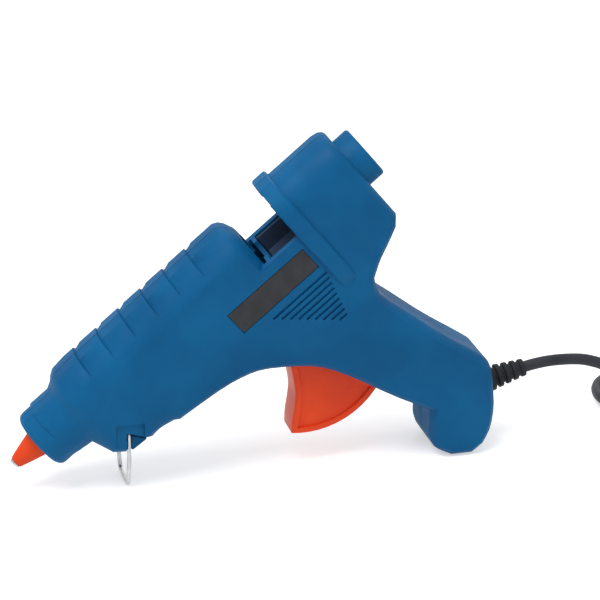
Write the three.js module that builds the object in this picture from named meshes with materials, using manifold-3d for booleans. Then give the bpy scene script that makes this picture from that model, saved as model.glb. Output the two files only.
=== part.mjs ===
// Trigger-fed hot glue gun, in millimetres, +Z up, standing on its wire stand and the butt of its grip.
// The gun is modelled along its barrel: x runs from the nozzle tip to the stick inlet, y across the two
// shells and z square to the barrel. The finished gun is then tilted onto the bench.

import * as THREE from 'three';
import Module from 'manifold-3d';
import { mergeVertices } from 'three/addons/utils/BufferGeometryUtils.js';

const wasm = await Module();
wasm.setup();

// Sizes of the whole
const barrelPitch = 39.4;
const bodyLength = 166;
const bodyDrop = 0.773 * bodyLength;
const noseFront = 13.5;
const bodyHalfWidth = 17;
const gripHalfWidth = 0.93 * bodyHalfWidth;
const barrelTop = 18.3;
const noseRadius = 13;
const wall = 2.4;

// Fits
const stickDiameter = 11.3;
const stickClearance = 0.75;
const ribThick = 1.7;
const seatGap = 0.3;
const slideGap = 0.4;
const pinClearance = 0.25;
const cutOverrun = 2;

const stickBore = stickDiameter / 2 + stickClearance;
const pitch = THREE.MathUtils.degToRad(barrelPitch);
const degree = THREE.MathUtils.degToRad(1);

// A place on the body's side plane, as shares of its length behind the nose and of its depth below the axis.
const place = ([along, down]) => new THREE.Vector2(noseFront + along * bodyLength, down * bodyDrop);
const along = (share) => noseFront + share * bodyLength;
const benchHeight = (spot) => spot.x * Math.sin(pitch) + spot.y * Math.cos(pitch);

// Solids

function signedVolume(points, triangles) {
  const a = new THREE.Vector3();
  const b = new THREE.Vector3();
  const c = new THREE.Vector3();
  let sum = 0;
  for (let i = 0; i < triangles.length; i += 3) {
    a.fromArray(points, triangles[i] * 3);
    b.fromArray(points, triangles[i + 1] * 3);
    c.fromArray(points, triangles[i + 2] * 3);
    sum += a.dot(b.cross(c));
  }
  return sum;
}

// Turns a closed geometry into a solid, with its shared corners merged and its faces pointing out.
function solid(geometry) {
  geometry.deleteAttribute('normal');
  geometry.deleteAttribute('uv');
  const merged = mergeVertices(geometry);
  const points = merged.getAttribute('position').array;
  const index = merged.getIndex().array;
  const kept = [];
  for (let i = 0; i < index.length; i += 3) {
    const [a, b, c] = [index[i], index[i + 1], index[i + 2]];
    if (a !== b && b !== c && c !== a) kept.push(a, b, c);
  }
  if (signedVolume(points, kept) < 0) kept.reverse();
  return new wasm.Manifold(new wasm.Mesh({
    numProp: 3,
    vertProperties: new Float32Array(points),
    triVerts: new Uint32Array(kept),
  }));
}

function join(...solids) {
  return solids.reduce((whole, piece) => whole.add(piece));
}

function cut(whole, ...tools) {
  return tools.reduce((rest, tool) => rest.subtract(tool), whole);
}

function box(x0, x1, y0, y1, z0, z1) {
  const geometry = new THREE.BoxGeometry(x1 - x0, y1 - y0, z1 - z0);
  return solid(geometry.translate((x0 + x1) / 2, (y0 + y1) / 2, (z0 + z1) / 2));
}

// A flat outline in the side plane, thickened from y0 to y1.
function slab(shape, y0, y1, curveSteps = 6) {
  const geometry = new THREE.ExtrudeGeometry(shape, {
    depth: y1 - y0,
    bevelEnabled: false,
    curveSegments: curveSteps,
  });
  return solid(geometry.rotateX(Math.PI / 2).translate(0, y1, 0));
}

function outlineShape(spots) {
  return new THREE.Shape(spots.map((spot) => new THREE.Vector2(spot.x, spot.y)));
}

// A slice of a disc in the side plane, from one angle to another.
function sector(spot, radius, from, to) {
  const shape = new THREE.Shape();
  shape.moveTo(spot.x, spot.y);
  shape.lineTo(spot.x + radius * Math.cos(from), spot.y + radius * Math.sin(from));
  shape.absarc(spot.x, spot.y, radius, from, to);
  return shape;
}

// A round bar across the gun, from y0 to y1.
function crossBar(spot, radius, y0, y1, sides = 14) {
  const geometry = new THREE.CylinderGeometry(radius, radius, y1 - y0, sides);
  return solid(geometry.translate(spot.x, (y0 + y1) / 2, spot.y));
}

// A form turned about the barrel's axis, from pairs of place along it and radius.
function turned(profile, sides = 20) {
  const spots = profile.map(([x, radius]) => new THREE.Vector2(radius, x));
  return solid(new THREE.LatheGeometry(spots, sides).rotateZ(-Math.PI / 2));
}

function disc(x0, x1, radius, sides = 20) {
  return turned([[x0, 0], [x0, radius], [x1, radius], [x1, 0]], sides);
}

function ring(x0, x1, inner, outer, sides = 20) {
  return turned([[x0, inner], [x0, outer], [x1, outer], [x1, inner], [x0, inner]], sides);
}

// A skin over rings of equal counts of points, closed by a fan at each end.
function loft(rings) {
  const count = rings[0].length;
  const positions = rings.flat().flatMap((point) => [point.x, point.y, point.z]);
  const index = [];
  for (let r = 0; r < rings.length - 1; r++) {
    for (let i = 0; i < count; i++) {
      const next = (i + 1) % count;
      const [a, b] = [r * count + i, r * count + next];
      index.push(a, b, a + count, b, b + count, a + count);
    }
  }
  for (const [r, flip] of [[0, true], [rings.length - 1, false]]) {
    const middle = rings[r].reduce((sum, point) => sum.clone().add(point)).divideScalar(count);
    const hub = positions.length / 3;
    positions.push(middle.x, middle.y, middle.z);
    for (let i = 0; i < count; i++) {
      const [a, b] = [r * count + i, r * count + (i + 1) % count];
      index.push(hub, flip ? b : a, flip ? a : b);
    }
  }
  const geometry = new THREE.BufferGeometry();
  geometry.setAttribute('position', new THREE.Float32BufferAttribute(positions, 3));
  geometry.setIndex(index);
  return solid(geometry);
}

// A round bar or cord along a curve, with its own count of steps and sides.
function tube(curve, radius, steps, sides = 8) {
  const section = new THREE.Shape();
  for (let i = 0; i < sides; i++) {
    const turn = (i / sides) * 2 * Math.PI;
    const spot = [radius * Math.cos(turn), radius * Math.sin(turn)];
    if (i === 0) section.moveTo(...spot);
    else section.lineTo(...spot);
  }
  return solid(new THREE.ExtrudeGeometry(section, { steps, bevelEnabled: false, extrudePath: curve }));
}

// A path of straight stretches whose corners are rounded over a bend's reach.
function bentPath(corners, bend) {
  const path = new THREE.CurvePath();
  let from = corners[0];
  for (let i = 1; i < corners.length - 1; i++) {
    const before = corners[i].clone().sub(corners[i - 1]).setLength(bend);
    const after = corners[i + 1].clone().sub(corners[i]).setLength(bend);
    const [start, end] = [corners[i].clone().sub(before), corners[i].clone().add(after)];
    path.add(new THREE.LineCurve3(from, start));
    path.add(new THREE.QuadraticBezierCurve3(start, corners[i], end));
    from = end;
  }
  path.add(new THREE.LineCurve3(from, corners[corners.length - 1]));
  return path;
}

// Finishes

const finish = (color, roughness, metalness) => new THREE.MeshStandardMaterial({ color, roughness, metalness });
const bluePlastic = () => finish('#1668a5', 0.55, 0);
const orangeRubber = () => finish('#e8521e', 0.6, 0);
const orangePlastic = () => finish('#e04522', 0.45, 0);
const castAluminium = () => finish('#b9bcc0', 0.45, 0.9);
const brightSteel = () => finish('#c9ccce', 0.3, 1);
const blackPlastic = () => finish('#26282c', 0.6, 0);
const greyRubber = () => finish('#303338', 0.75, 0);
const cordSheath = () => finish('#3b3a47', 0.6, 0);
const plateFoil = () => finish('#35363a', 0.4, 0);
const whiteCeramic = () => finish('#d8d4c8', 0.7, 0);

const gun = new THREE.Group();
const lead = new THREE.Group();

function addTo(group, name, piece, material) {
  const cutMesh = piece.getMesh();
  const geometry = new THREE.BufferGeometry();
  geometry.setAttribute('position', new THREE.BufferAttribute(new Float32Array(cutMesh.vertProperties), 3));
  geometry.setIndex(new THREE.BufferAttribute(new Uint32Array(cutMesh.triVerts), 1));
  geometry.computeVertexNormals();
  const mesh = new THREE.Mesh(geometry, material);
  mesh.name = name;
  group.add(mesh);
  return mesh;
}

const add = (name, piece, material) => addTo(gun, name, piece, material);

// Body form

// One section across the barrel: a superellipse, with its own height above the axis and depth below it.
const sectionPoints = 24;
const topSquareness = 2.5;
const bottomSquareness = 8;

function section(x, halfWidth, height, depth, squareness) {
  const power = (value, n) => Math.sign(value) * Math.abs(value) ** (2 / n);
  const points = [];
  for (let i = 0; i < sectionPoints; i++) {
    const turn = (i / sectionPoints) * 2 * Math.PI;
    const above = i <= sectionPoints / 2;
    const n = above ? topSquareness : squareness;
    const y = halfWidth * power(Math.cos(turn), n);
    const z = (above ? height : depth) * power(Math.sin(turn), n);
    points.push(new THREE.Vector3(x, y, z));
  }
  return points;
}

// The barrel's crown: place along the body, then width, height and depth as shares of the full section.
const barrelShares = [
  [0.039, 0.765, 0.71, 0.71, 0.25],
  [0.099, 0.765, 0.71, 0.75, 0.3],
  [0.118, 0.86, 0.8, 1.2, 0.5],
  [0.128, 0.93, 0.89, 1.7, 0.8],
  [0.141, 0.98, 0.965, 2.6, 1],
  [0.178, 1, 1, 4, 1],
  [0.655, 1, 1, 4, 1],
  [0.668, 0.955, 0.945, 4, 1],
  [0.678, 0.86, 0.84, 4, 1],
  [0.687, 0.68, 0.65, 4, 1],
  [0.694, 0.46, 0.42, 4, 1],
];
const barrelRear = along(0.694);

function barrelCrown(inset) {
  return loft(barrelShares.map(([x, wide, high, deep, square]) => section(
    Math.min(along(x), barrelRear - inset),
    wide * bodyHalfWidth - inset,
    high * barrelTop - inset,
    deep * barrelTop - inset,
    bottomSquareness * square,
  )));
}

// The rear block that the trough opens in front of.
const blockFront = along(0.792);
const blockRear = along(1);
const rimLength = 7;
const rimStand = 2.1;
const rimDrop = 33;
const blockShares = [[0, 1, 1], [0.85, 1, 1], [0.94, 0.965, 0.97], [0.985, 0.9, 0.91], [1, 0.83, 0.85]];

function blockCrown(inset) {
  const [front, rear] = [blockFront + inset, blockRear - inset];
  return loft(blockShares.map(([x, wide, high]) => section(
    front + x * (rear - front),
    wide * gripHalfWidth - inset,
    high * barrelTop - inset,
    bodyDrop / 2,
    bottomSquareness,
  )));
}

// The raised band round the front of the rear block.
function blockRim() {
  const edge = rimStand / 3;
  const rows = [[0, edge], [edge, 0], [rimLength - edge, 0], [rimLength, edge]];
  return loft(rows.map(([x, less]) => section(
    blockFront + x,
    gripHalfWidth + rimStand - less,
    barrelTop + rimStand - less,
    rimDrop - less,
    bottomSquareness,
  )));
}

// The side outline below the axis, as shares of the body's length and depth.
const buttFlatLength = 0.0555 * bodyLength;
const buttHeel = place([0.746, -1]);
const buttToe = new THREE.Vector2(
  buttHeel.x - buttFlatLength * Math.cos(pitch),
  buttHeel.y + buttFlatLength * Math.sin(pitch),
);
const blockUndersideShares = [[0.943, -0.241], [0.9, -0.267], [0.861, -0.3]];
const gripBackShares = [
  [0.844, -0.363], [0.864, -0.479], [0.887, -0.603], [0.922, -0.748], [0.928, -0.795],
  [0.914, -0.84], [0.895, -0.877], [0.864, -0.931], [0.822, -0.979], [0.783, -1.002],
];
const buttFrontShares = [[0.6875, -0.9], [0.699, -0.853]];
const gripFrontShares = [
  [0.699, -0.661], [0.658, -0.5175], [0.622, -0.418], [0.58, -0.353], [0.518, -0.285],
  [0.474, -0.257], [0.413, -0.237], [0.313, -0.221],
];
const bellyShares = [[0.24, -0.196], [0.205, -0.199], [0.157, -0.196]];
const outlineTop = 1.7 * barrelTop;
const nosePlateStart = 0.045;

function sideOutline() {
  const shape = new THREE.Shape();
  const lineTo = (spot) => shape.lineTo(spot.x, spot.y);
  shape.moveTo(along(nosePlateStart), outlineTop);
  lineTo(new THREE.Vector2(blockRear, outlineTop));
  lineTo(place([1, -0.187]));
  lineTo(place([0.982, -0.215]));
  shape.splineThru(blockUndersideShares.map(place));
  shape.splineThru(gripBackShares.map(place));
  lineTo(buttHeel);
  lineTo(buttToe);
  shape.splineThru(buttFrontShares.map(place));
  lineTo(place([0.742, -0.786]));
  shape.splineThru(gripFrontShares.map(place));
  lineTo(place([0.289, -0.218]));
  lineTo(place([0.277, -0.2065]));
  shape.splineThru(bellyShares.map(place));
  lineTo(place([0.12, -0.152]));
  lineTo(place([0.083, -0.1]));
  lineTo(place([nosePlateStart, -0.085]));
  return shape;
}

// The outline thickened to the body's width, with its edges rounded.
const edgeRadius = 6;

function sidePlate(inset) {
  const rounding = edgeRadius - inset;
  const geometry = new THREE.ExtrudeGeometry(sideOutline(), {
    depth: 2 * (bodyHalfWidth - inset - rounding),
    curveSegments: inset > 0 ? 1 : 2,
    bevelEnabled: true,
    bevelThickness: rounding,
    bevelSize: rounding,
    bevelOffset: -rounding - inset,
    bevelSegments: inset > 0 ? 1 : 3,
  });
  geometry.rotateX(Math.PI / 2);
  return solid(geometry.translate(0, bodyHalfWidth - inset - rounding, 0));
}

// The plan outline: full width along the barrel, narrower at the trough, the block and the grip.
const taperShares = [0.28, 0.52];

function planForm(inset) {
  const [taperStart, taperEnd] = taperShares.map(along);
  const wide = bodyHalfWidth - inset + (inset > 0 ? 0 : cutOverrun);
  const narrow = gripHalfWidth - inset;
  const shape = new THREE.Shape();
  const ends = [along(0) - cutOverrun, blockRear + cutOverrun];
  shape.moveTo(ends[0], -wide);
  shape.lineTo(taperStart, -bodyHalfWidth + inset);
  shape.lineTo(taperEnd, -narrow);
  shape.lineTo(ends[1], -narrow);
  shape.lineTo(ends[1], narrow);
  shape.lineTo(taperEnd, narrow);
  shape.lineTo(taperStart, bodyHalfWidth - inset);
  shape.lineTo(ends[0], wide);
  const geometry = new THREE.ExtrudeGeometry(shape, { depth: 3 * bodyDrop, bevelEnabled: false });
  return solid(geometry.translate(0, 0, -2 * bodyDrop));
}

// Everything below the trough's walls, where the barrel, the web and the grip run into each other.
const troughTop = -1.5;
const webRear = along(0.93);
const blockFloor = 0.24 * bodyDrop;

function lowerForm(inset) {
  const reach = bodyHalfWidth + cutOverrun;
  return join(
    box(along(0.178), webRear, -reach, reach, -1.2 * bodyDrop, troughTop - inset),
    box(webRear - cutOverrun, blockRear + cutOverrun, -reach, reach, -1.2 * bodyDrop, -blockFloor - inset),
  );
}

function bodyForm(inset) {
  const crown = join(barrelCrown(inset), blockCrown(inset), lowerForm(inset));
  return sidePlate(inset).intersect(crown).intersect(planForm(inset));
}

// Nose, collar and their bores

const noseLength = 18;
const noseRounding = 3;
const noseWall = 2.5;
const capHole = 6.6;
const collarRadius = 11.4;
const collarReach = 7.5;
const collarRounding = 0.8;

function noseForm() {
  const arc = [0, 0.25, 0.5, 0.75, 1].map((share) => [
    noseFront + noseRounding * (1 - Math.sin((share * Math.PI) / 2)),
    noseRadius - noseRounding * (1 - Math.cos((share * Math.PI) / 2)),
  ]);
  const skin = arc.reverse();
  return turned([[noseFront, 0], ...skin, [noseFront + noseLength, noseRadius], [noseFront + noseLength, 0]], 24);
}

function collarForm() {
  const end = blockRear + collarReach;
  return turned([
    [blockRear - wall, 0],
    [blockRear - wall, collarRadius],
    [end - collarRounding, collarRadius],
    [end, collarRadius - collarRounding],
    [end, 0],
  ], 24);
}

// Parts of the melting end

const tipRadius = 2.3;
const tipRim = 1.3;
const orificeRadius = 0.9;
const capBaseRadius = 5.9;
const capWall = 1.3;
const capLip = 2;
const capLipRadius = 8.4;
const capEnd = noseFront + noseWall + seatGap + capLip;
const nozzleFlangeEnd = capEnd + seatGap + 3;
const nozzleFlangeRadius = 7.6;
const nozzleTubeRadius = capBaseRadius - capWall - seatGap;

function nozzleCap() {
  const outerTip = tipRadius + 0.3 * capWall;
  const slopeAt = (x) => outerTip + ((x - tipRim) / (noseFront - tipRim)) * (capBaseRadius - outerTip);
  const inner = (x) => slopeAt(x) - capWall;
  const throat = noseFront + noseWall + seatGap;
  return turned([
    [tipRim, inner(tipRim)],
    [tipRim, outerTip],
    [noseFront, capBaseRadius],
    [throat, capBaseRadius],
    [throat, capLipRadius],
    [capEnd, capLipRadius],
    [capEnd, inner(noseFront)],
    [noseFront, inner(noseFront)],
    [tipRim, inner(tipRim)],
  ]);
}

function nozzle() {
  const shank = tipRadius - 0.9 * capWall;
  const slopeAt = (x) => shank + ((x - tipRim) / (noseFront - tipRim)) * (nozzleTubeRadius - shank);
  const rimEnd = tipRim - seatGap;
  return turned([
    [0, orificeRadius],
    [0, tipRadius - seatGap],
    [seatGap, tipRadius],
    [rimEnd, tipRadius],
    [rimEnd, slopeAt(tipRim)],
    [noseFront, nozzleTubeRadius],
    [capEnd + seatGap, nozzleTubeRadius],
    [capEnd + seatGap, nozzleFlangeRadius],
    [nozzleFlangeEnd, nozzleFlangeRadius],
    [nozzleFlangeEnd, orificeRadius * 2],
    [noseFront, orificeRadius * 2],
    [noseFront / 2, orificeRadius],
    [0, orificeRadius],
  ]);
}

const chamberStart = nozzleFlangeEnd + seatGap;
const chamberEnd = along(0.447);
const chamberRadius = 9.2;
const spigotRadius = 7.6;
const spigotLength = 10;
const slotHeight = 4.4;
const slotHalfWidth = 6;
const heaterBlockHalfWidth = 7.8;
const heaterBlockDepth = 16;
const supportThick = 2;

function meltChamber() {
  const tail = chamberEnd + spigotLength;
  const heatStart = chamberStart + 0.18 * (chamberEnd - chamberStart);
  const heatEnd = chamberEnd - 0.14 * (chamberEnd - chamberStart);
  const neck = 0.75 * chamberRadius;
  const shoulder = frontSupportAt + supportThick + ribThick + 2 * seatGap;
  const barrel = turned([
    [chamberStart, 0],
    [chamberStart, neck],
    [shoulder, neck],
    [shoulder, chamberRadius],
    [chamberEnd, chamberRadius],
    [chamberEnd, spigotRadius],
    [tail, spigotRadius],
    [tail, 0],
  ]);
  const block = box(heatStart, heatEnd, -heaterBlockHalfWidth, heaterBlockHalfWidth, -heaterBlockDepth, 0);
  const bore = turned([
    [chamberStart - cutOverrun, 0],
    [chamberStart - cutOverrun, orificeRadius * 2],
    [chamberStart + chamberRadius, orificeRadius * 3],
    [chamberStart + 2 * chamberRadius, stickBore],
    [tail + cutOverrun, stickBore],
    [tail + cutOverrun, 0],
  ]);
  const slotTop = -chamberRadius - wall / 4;
  const slot = box(heatStart - cutOverrun, heatEnd + cutOverrun, -slotHalfWidth, slotHalfWidth,
    slotTop - slotHeight, slotTop);
  return cut(join(barrel, block), bore, slot);
}

const frontSupportAt = chamberStart + 2;
const rearSupportAt = chamberEnd + seatGap;
const frontSupportRadius = noseRadius - wall - seatGap;
const rearSupportRadius = 12.6;
const supportHold = 1.7;

function heaterPlate() {
  const slotTop = -chamberRadius - wall / 4;
  const length = 0.5 * (chamberEnd - chamberStart);
  const start = chamberStart + 0.25 * (chamberEnd - chamberStart);
  const half = slotHalfWidth - seatGap;
  return box(start, start + length, -half, half, slotTop - seatGap - 2.2 * supportThick / 2, slotTop - seatGap);
}

function heaterClamp() {
  const slotTop = -chamberRadius - wall / 4;
  const top = slotTop - 2 * seatGap - 2.2 * supportThick / 2;
  const bottom = slotTop - slotHeight + seatGap;
  const start = chamberStart + 0.28 * (chamberEnd - chamberStart);
  const end = start + 0.44 * (chamberEnd - chamberStart);
  const half = 0.6 * slotHalfWidth;
  return box(start, end, -half, half, bottom, top);
}

function supportPlate(x0, bore, radius) {
  return ring(x0, x0 + supportThick, bore, radius, 24);
}

const sleeveStart = rearSupportAt + supportThick + seatGap;
const sleeveEnd = along(0.672);
const sleeveWall = 1.6;
const sleeveBore = spigotRadius + seatGap;
const sleeveBandWidth = 4;
const sleeveBandThick = 0.8;
const barrelHole = stickBore + sleeveWall + seatGap / 3;

function inletSleeve() {
  const outer = sleeveBore + sleeveWall;
  const step = chamberEnd + spigotLength + seatGap;
  return turned([
    [sleeveStart, sleeveBore],
    [sleeveStart, outer],
    [step, outer],
    [step + sleeveWall, stickBore + sleeveWall],
    [sleeveEnd, stickBore + sleeveWall],
    [sleeveEnd, stickBore + seatGap],
    [step, stickBore + seatGap],
    [step, sleeveBore],
    [sleeveStart, sleeveBore],
  ]);
}

function sleeveBand() {
  const inner = sleeveBore + sleeveWall + seatGap;
  const start = sleeveStart + sleeveWall;
  return ring(start, start + sleeveBandWidth, inner, inner + sleeveBandThick);
}

// Feed: the trigger's arm drives a link, the link draws the carriage

const triggerPivot = place([0.6145, -0.35]);
const triggerTravel = 18;
const triggerPin = 2;
const triggerHalfWidth = 7;
const webHalfWidth = 5.6;
const flangeThick = 2.6;
const hubRadius = 5;
const armLength = 30;
const armRestLean = triggerTravel / 2;
const forkHalfWidth = 4.4;
const linkHalfThick = 1.5;
const linkHalfHeight = 3;
const smallPin = 1.3;

const armPin = new THREE.Vector2(
  triggerPivot.x + armLength * Math.sin(armRestLean * degree),
  triggerPivot.y + armLength * Math.cos(armRestLean * degree),
);
const stroke = 2 * armLength * Math.sin(armRestLean * degree);

const carriageFront = blockFront + wall + 1.1;
const carriageLength = 15.5;
const carriageRear = carriageFront + carriageLength;
const carriageRadius = 9.2;
const footHalfWidth = 4.4;
const footDepth = 18.6;
const wingReach = 11.1;
const wingHalfHeight = 1.8;
const carriagePinSpot = new THREE.Vector2(carriageFront + 4.5, armPin.y);
const gripperSpot = new THREE.Vector2(carriageRear - 4.2, -12.4);
const gripperTravel = 8;
const gripperPinRadius = 1.2;

function feedCarriage() {
  const hoop = disc(carriageFront, carriageRear, carriageRadius);
  const wings = box(carriageFront, carriageRear, -wingReach, wingReach, -wingHalfHeight, wingHalfHeight);
  const foot = box(carriageFront, carriageRear, -footHalfWidth, footHalfWidth, -footDepth, 0);
  const slot = box(carriageFront - cutOverrun, carriageRear - 0.6, -linkHalfThick - slideGap,
    linkHalfThick + slideGap, -footDepth - cutOverrun, -stickBore + cutOverrun);
  return cut(
    join(hoop, wings, foot),
    disc(carriageFront - cutOverrun, carriageRear + cutOverrun, stickBore),
    slot,
    crossBar(carriagePinSpot, smallPin + pinClearance, -footHalfWidth - cutOverrun, footHalfWidth + cutOverrun),
    crossBar(gripperSpot, gripperPinRadius + pinClearance, -footHalfWidth - cutOverrun,
      footHalfWidth + cutOverrun),
  );
}

// A lever whose toothed head bites the stick from below.
function stickGripper() {
  const headTop = -stickDiameter / 2 - seatGap - gripperSpot.y;
  const headHalf = 2.4;
  const tooth = 0.8;
  const shape = new THREE.Shape();
  shape.moveTo(-headHalf, 0);
  shape.lineTo(-headHalf, headTop - tooth);
  for (let i = 0; i < 4; i++) {
    const left = -headHalf + (i * headHalf) / 2;
    shape.lineTo(left, headTop);
    shape.lineTo(left + headHalf / 2, headTop - tooth);
  }
  shape.lineTo(headHalf, 0);
  shape.absarc(0, 0, headHalf, 0, -Math.PI, true);
  const lever = slab(shape, -linkHalfThick, linkHalfThick);
  const moved = lever.translate([gripperSpot.x, 0, gripperSpot.y]);
  return cut(moved, crossBar(gripperSpot, gripperPinRadius + pinClearance, -cutOverrun, cutOverrun));
}

function linkArm() {
  const [front, rear] = [armPin, carriagePinSpot];
  const shape = new THREE.Shape();
  shape.moveTo(front.x, front.y + linkHalfHeight);
  shape.lineTo(rear.x, rear.y + linkHalfHeight);
  shape.absarc(rear.x, rear.y, linkHalfHeight, Math.PI / 2, -Math.PI / 2, true);
  shape.lineTo(front.x, front.y - linkHalfHeight);
  shape.absarc(front.x, front.y, linkHalfHeight, -Math.PI / 2, -1.5 * Math.PI, true);
  return cut(
    slab(shape, -linkHalfThick, linkHalfThick, 6),
    crossBar(front, smallPin + pinClearance, -cutOverrun, cutOverrun),
    crossBar(rear, smallPin + 3 * pinClearance, -cutOverrun, cutOverrun),
  );
}

// The trigger's side outline: a hollow front for the fingers and an arc about its pivot below.
const triggerTop = place([0.5645, -0.362]);
const triggerTip = place([0.4533, -0.5415]);
const triggerFrontShares = [[0.534, -0.432], [0.5136, -0.464], [0.4756, -0.509]];
const triggerRadius = triggerTip.distanceTo(triggerPivot);
const tipAngle = Math.atan2(triggerTip.y - triggerPivot.y, triggerTip.x - triggerPivot.x);
const triggerRearAngle = tipAngle + 68 * degree;

function triggerOutline(inset) {
  const shape = new THREE.Shape();
  const shift = new THREE.Vector2(inset, 0);
  const front = [triggerTop, ...triggerFrontShares.map(place)].map((spot) => spot.clone().add(shift));
  const radius = triggerRadius - inset;
  shape.moveTo(front[0].x, front[0].y);
  shape.splineThru(front.slice(1));
  shape.absarc(triggerPivot.x, triggerPivot.y, radius, tipAngle + (2.2 * inset) / radius, triggerRearAngle);
  shape.lineTo(triggerPivot.x + hubRadius, triggerPivot.y);
  shape.absarc(triggerPivot.x, triggerPivot.y, hubRadius, 0, Math.PI);
  return shape;
}

function trigger() {
  const whole = slab(triggerOutline(0), -triggerHalfWidth, triggerHalfWidth, 3);
  const panel = triggerOutline(flangeThick);
  const sides = [
    slab(panel, -triggerHalfWidth - cutOverrun, -webHalfWidth, 3),
    slab(panel, webHalfWidth, triggerHalfWidth + cutOverrun, 3),
  ];
  const hub = crossBar(triggerPivot, hubRadius, -triggerHalfWidth, triggerHalfWidth, 14);
  const armBase = new THREE.Vector2(armPin.x, armPin.y).sub(triggerPivot).normalize();
  const side = new THREE.Vector2(-armBase.y, armBase.x).multiplyScalar(linkHalfHeight + 0.6);
  const armShape = outlineShape([
    triggerPivot.clone().add(side),
    armPin.clone().add(side),
    armPin.clone().sub(side),
    triggerPivot.clone().sub(side),
  ]);
  const arm = join(
    slab(armShape, -forkHalfWidth, forkHalfWidth),
    crossBar(armPin, linkHalfHeight + 0.6, -forkHalfWidth, forkHalfWidth),
  );
  const forkFloor = armPin.clone().sub(armBase.multiplyScalar(2.6 * linkHalfHeight));
  const fork = box(armPin.x - 5 * linkHalfHeight, armPin.x + 5 * linkHalfHeight, -linkHalfThick - slideGap,
    linkHalfThick + slideGap, forkFloor.y, armPin.y + 2 * linkHalfHeight);
  const reach = triggerHalfWidth + cutOverrun;
  return cut(
    join(cut(whole, ...sides), hub, arm),
    fork,
    crossBar(triggerPivot, triggerPin + pinClearance, -reach, reach),
    crossBar(armPin, smallPin + pinClearance, -reach, reach),
  );
}

function crossPin(spot, radius, halfLength, sides = 16) {
  return crossBar(spot, radius, -halfLength, halfLength, sides);
}

// The return spring draws the carriage back to its stop.
const springTurns = 7;
const springRadius = 2.6;
const springWire = 0.4;
const springPost = new THREE.Vector2(blockRear - wall - 1.6, -15);
const springPostRadius = 1.5;
const springSteps = 8;

class CoilCurve extends THREE.Curve {
  constructor(start, end, turns, radius) {
    super();
    Object.assign(this, { start, end, turns, radius });
  }

  getPoint(t, target = new THREE.Vector3()) {
    const turn = t * this.turns * 2 * Math.PI;
    const axis = this.start.clone().lerp(this.end, t);
    return target.set(axis.x, axis.y + this.radius * Math.sin(turn), axis.z + this.radius * Math.cos(turn));
  }
}

function returnSpring() {
  const front = new THREE.Vector3(carriageRear + seatGap + springWire, 0, springPost.y);
  const rear = new THREE.Vector3(springPost.x - springPostRadius - seatGap - springWire, 0, springPost.y);
  return tube(new CoilCurve(front, rear, springTurns, springRadius), springWire, springTurns * springSteps, 5);
}

// The dark channel that guides the stick across the trough.
const cradleFront = along(0.71);
const cradleRear = blockFront - seatGap;
const cradleReach = 12.6;
const cradleThick = 1.2;
const cradleTop = troughTop - 0.8;
const cradleFloor = -11.1;

function stickCradle() {
  const outside = box(cradleFront, cradleRear, -cradleReach, cradleReach, cradleFloor, cradleTop);
  const inner = cradleReach - cradleThick;
  const inside = box(cradleFront - cutOverrun, cradleRear + cutOverrun, -inner, inner,
    cradleFloor + cradleThick, cradleTop + cutOverrun);
  const footSlot = box(carriageFront - stroke - 2 * slideGap, cradleRear + cutOverrun, -footHalfWidth - slideGap,
    footHalfWidth + slideGap, cradleFloor - cutOverrun, cradleTop);
  return cut(outside, inside, footSlot);
}

// Wire stand

const standPivot = place([0.1765, -0.139]);
const wireRadius = 0.85;
const legSpread = 12;
const footSpread = 8;
const hookDepth = 3.4;
const standTravel = 73;
const legBend = 1.6;

// A bench direction seen in the gun's own plane.
const benchDown = new THREE.Vector2(-Math.sin(pitch), -Math.cos(pitch));
const tipHeight = -benchHeight(buttHeel);
const standDrop = tipHeight + benchHeight(standPivot) - wireRadius;

function wireStand() {
  const at = (y, drop) => new THREE.Vector3(standPivot.x + benchDown.x * drop, y, standPivot.y + benchDown.y * drop);
  const near = [
    at(-legSpread + hookDepth, 0),
    at(-legSpread, 0),
    at(-legSpread, standDrop / 2),
    at(-footSpread, standDrop),
  ];
  const far = near.map((point) => new THREE.Vector3(point.x, -point.y, point.z)).reverse();
  return tube(bentPath([...near, ...far], legBend), wireRadius, 36, 8);
}

// Shell details

const pocketDepth = 1.1;
const pocketRadius = 5.8;
const slotFloor = legSpread - wireRadius - slideGap;
const slotHalf = wireRadius + 0.6;
const restAngle = -Math.PI / 2 - pitch;
const foldAngle = restAngle + standTravel * degree;

function bandOutline(origin, angle, half, length) {
  const dir = new THREE.Vector2(Math.cos(angle), Math.sin(angle));
  const side = new THREE.Vector2(-dir.y, dir.x).multiplyScalar(half);
  const far = origin.clone().add(dir.clone().multiplyScalar(length));
  const back = origin.clone().sub(dir.multiplyScalar(half));
  return outlineShape([back.clone().add(side), back.clone().sub(side), far.clone().sub(side), far.clone().add(side)]);
}

// One side's pocket: a shallow arch, and the sector that the leg swings through, open below.
function standPocket(side) {
  const reach = bodyHalfWidth + cutOverrun;
  const span = (from) => (side < 0 ? [-reach, -from] : [from, reach]);
  const arch = sector(standPivot, pocketRadius, foldAngle, restAngle + 2 * Math.PI);
  const drop = bandOutline(standPivot, restAngle, pocketRadius, 2 * pocketRadius);
  const swingRadius = 3.6 * pocketRadius;
  const swing = sector(standPivot, swingRadius, restAngle, foldAngle);
  return join(
    slab(arch, ...span(bodyHalfWidth - pocketDepth)),
    slab(drop, ...span(bodyHalfWidth - pocketDepth)),
    slab(swing, ...span(slotFloor)),
    slab(bandOutline(standPivot, restAngle, slotHalf, swingRadius), ...span(slotFloor - 0.8)),
    slab(bandOutline(standPivot, foldAngle, slotHalf, swingRadius), ...span(slotFloor - 0.8)),
    crossBar(standPivot, slotHalf, ...span(slotFloor - 0.8)),
    crossBar(standPivot, wireRadius + pinClearance, ...span(legSpread - hookDepth - cutOverrun)),
  );
}

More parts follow.
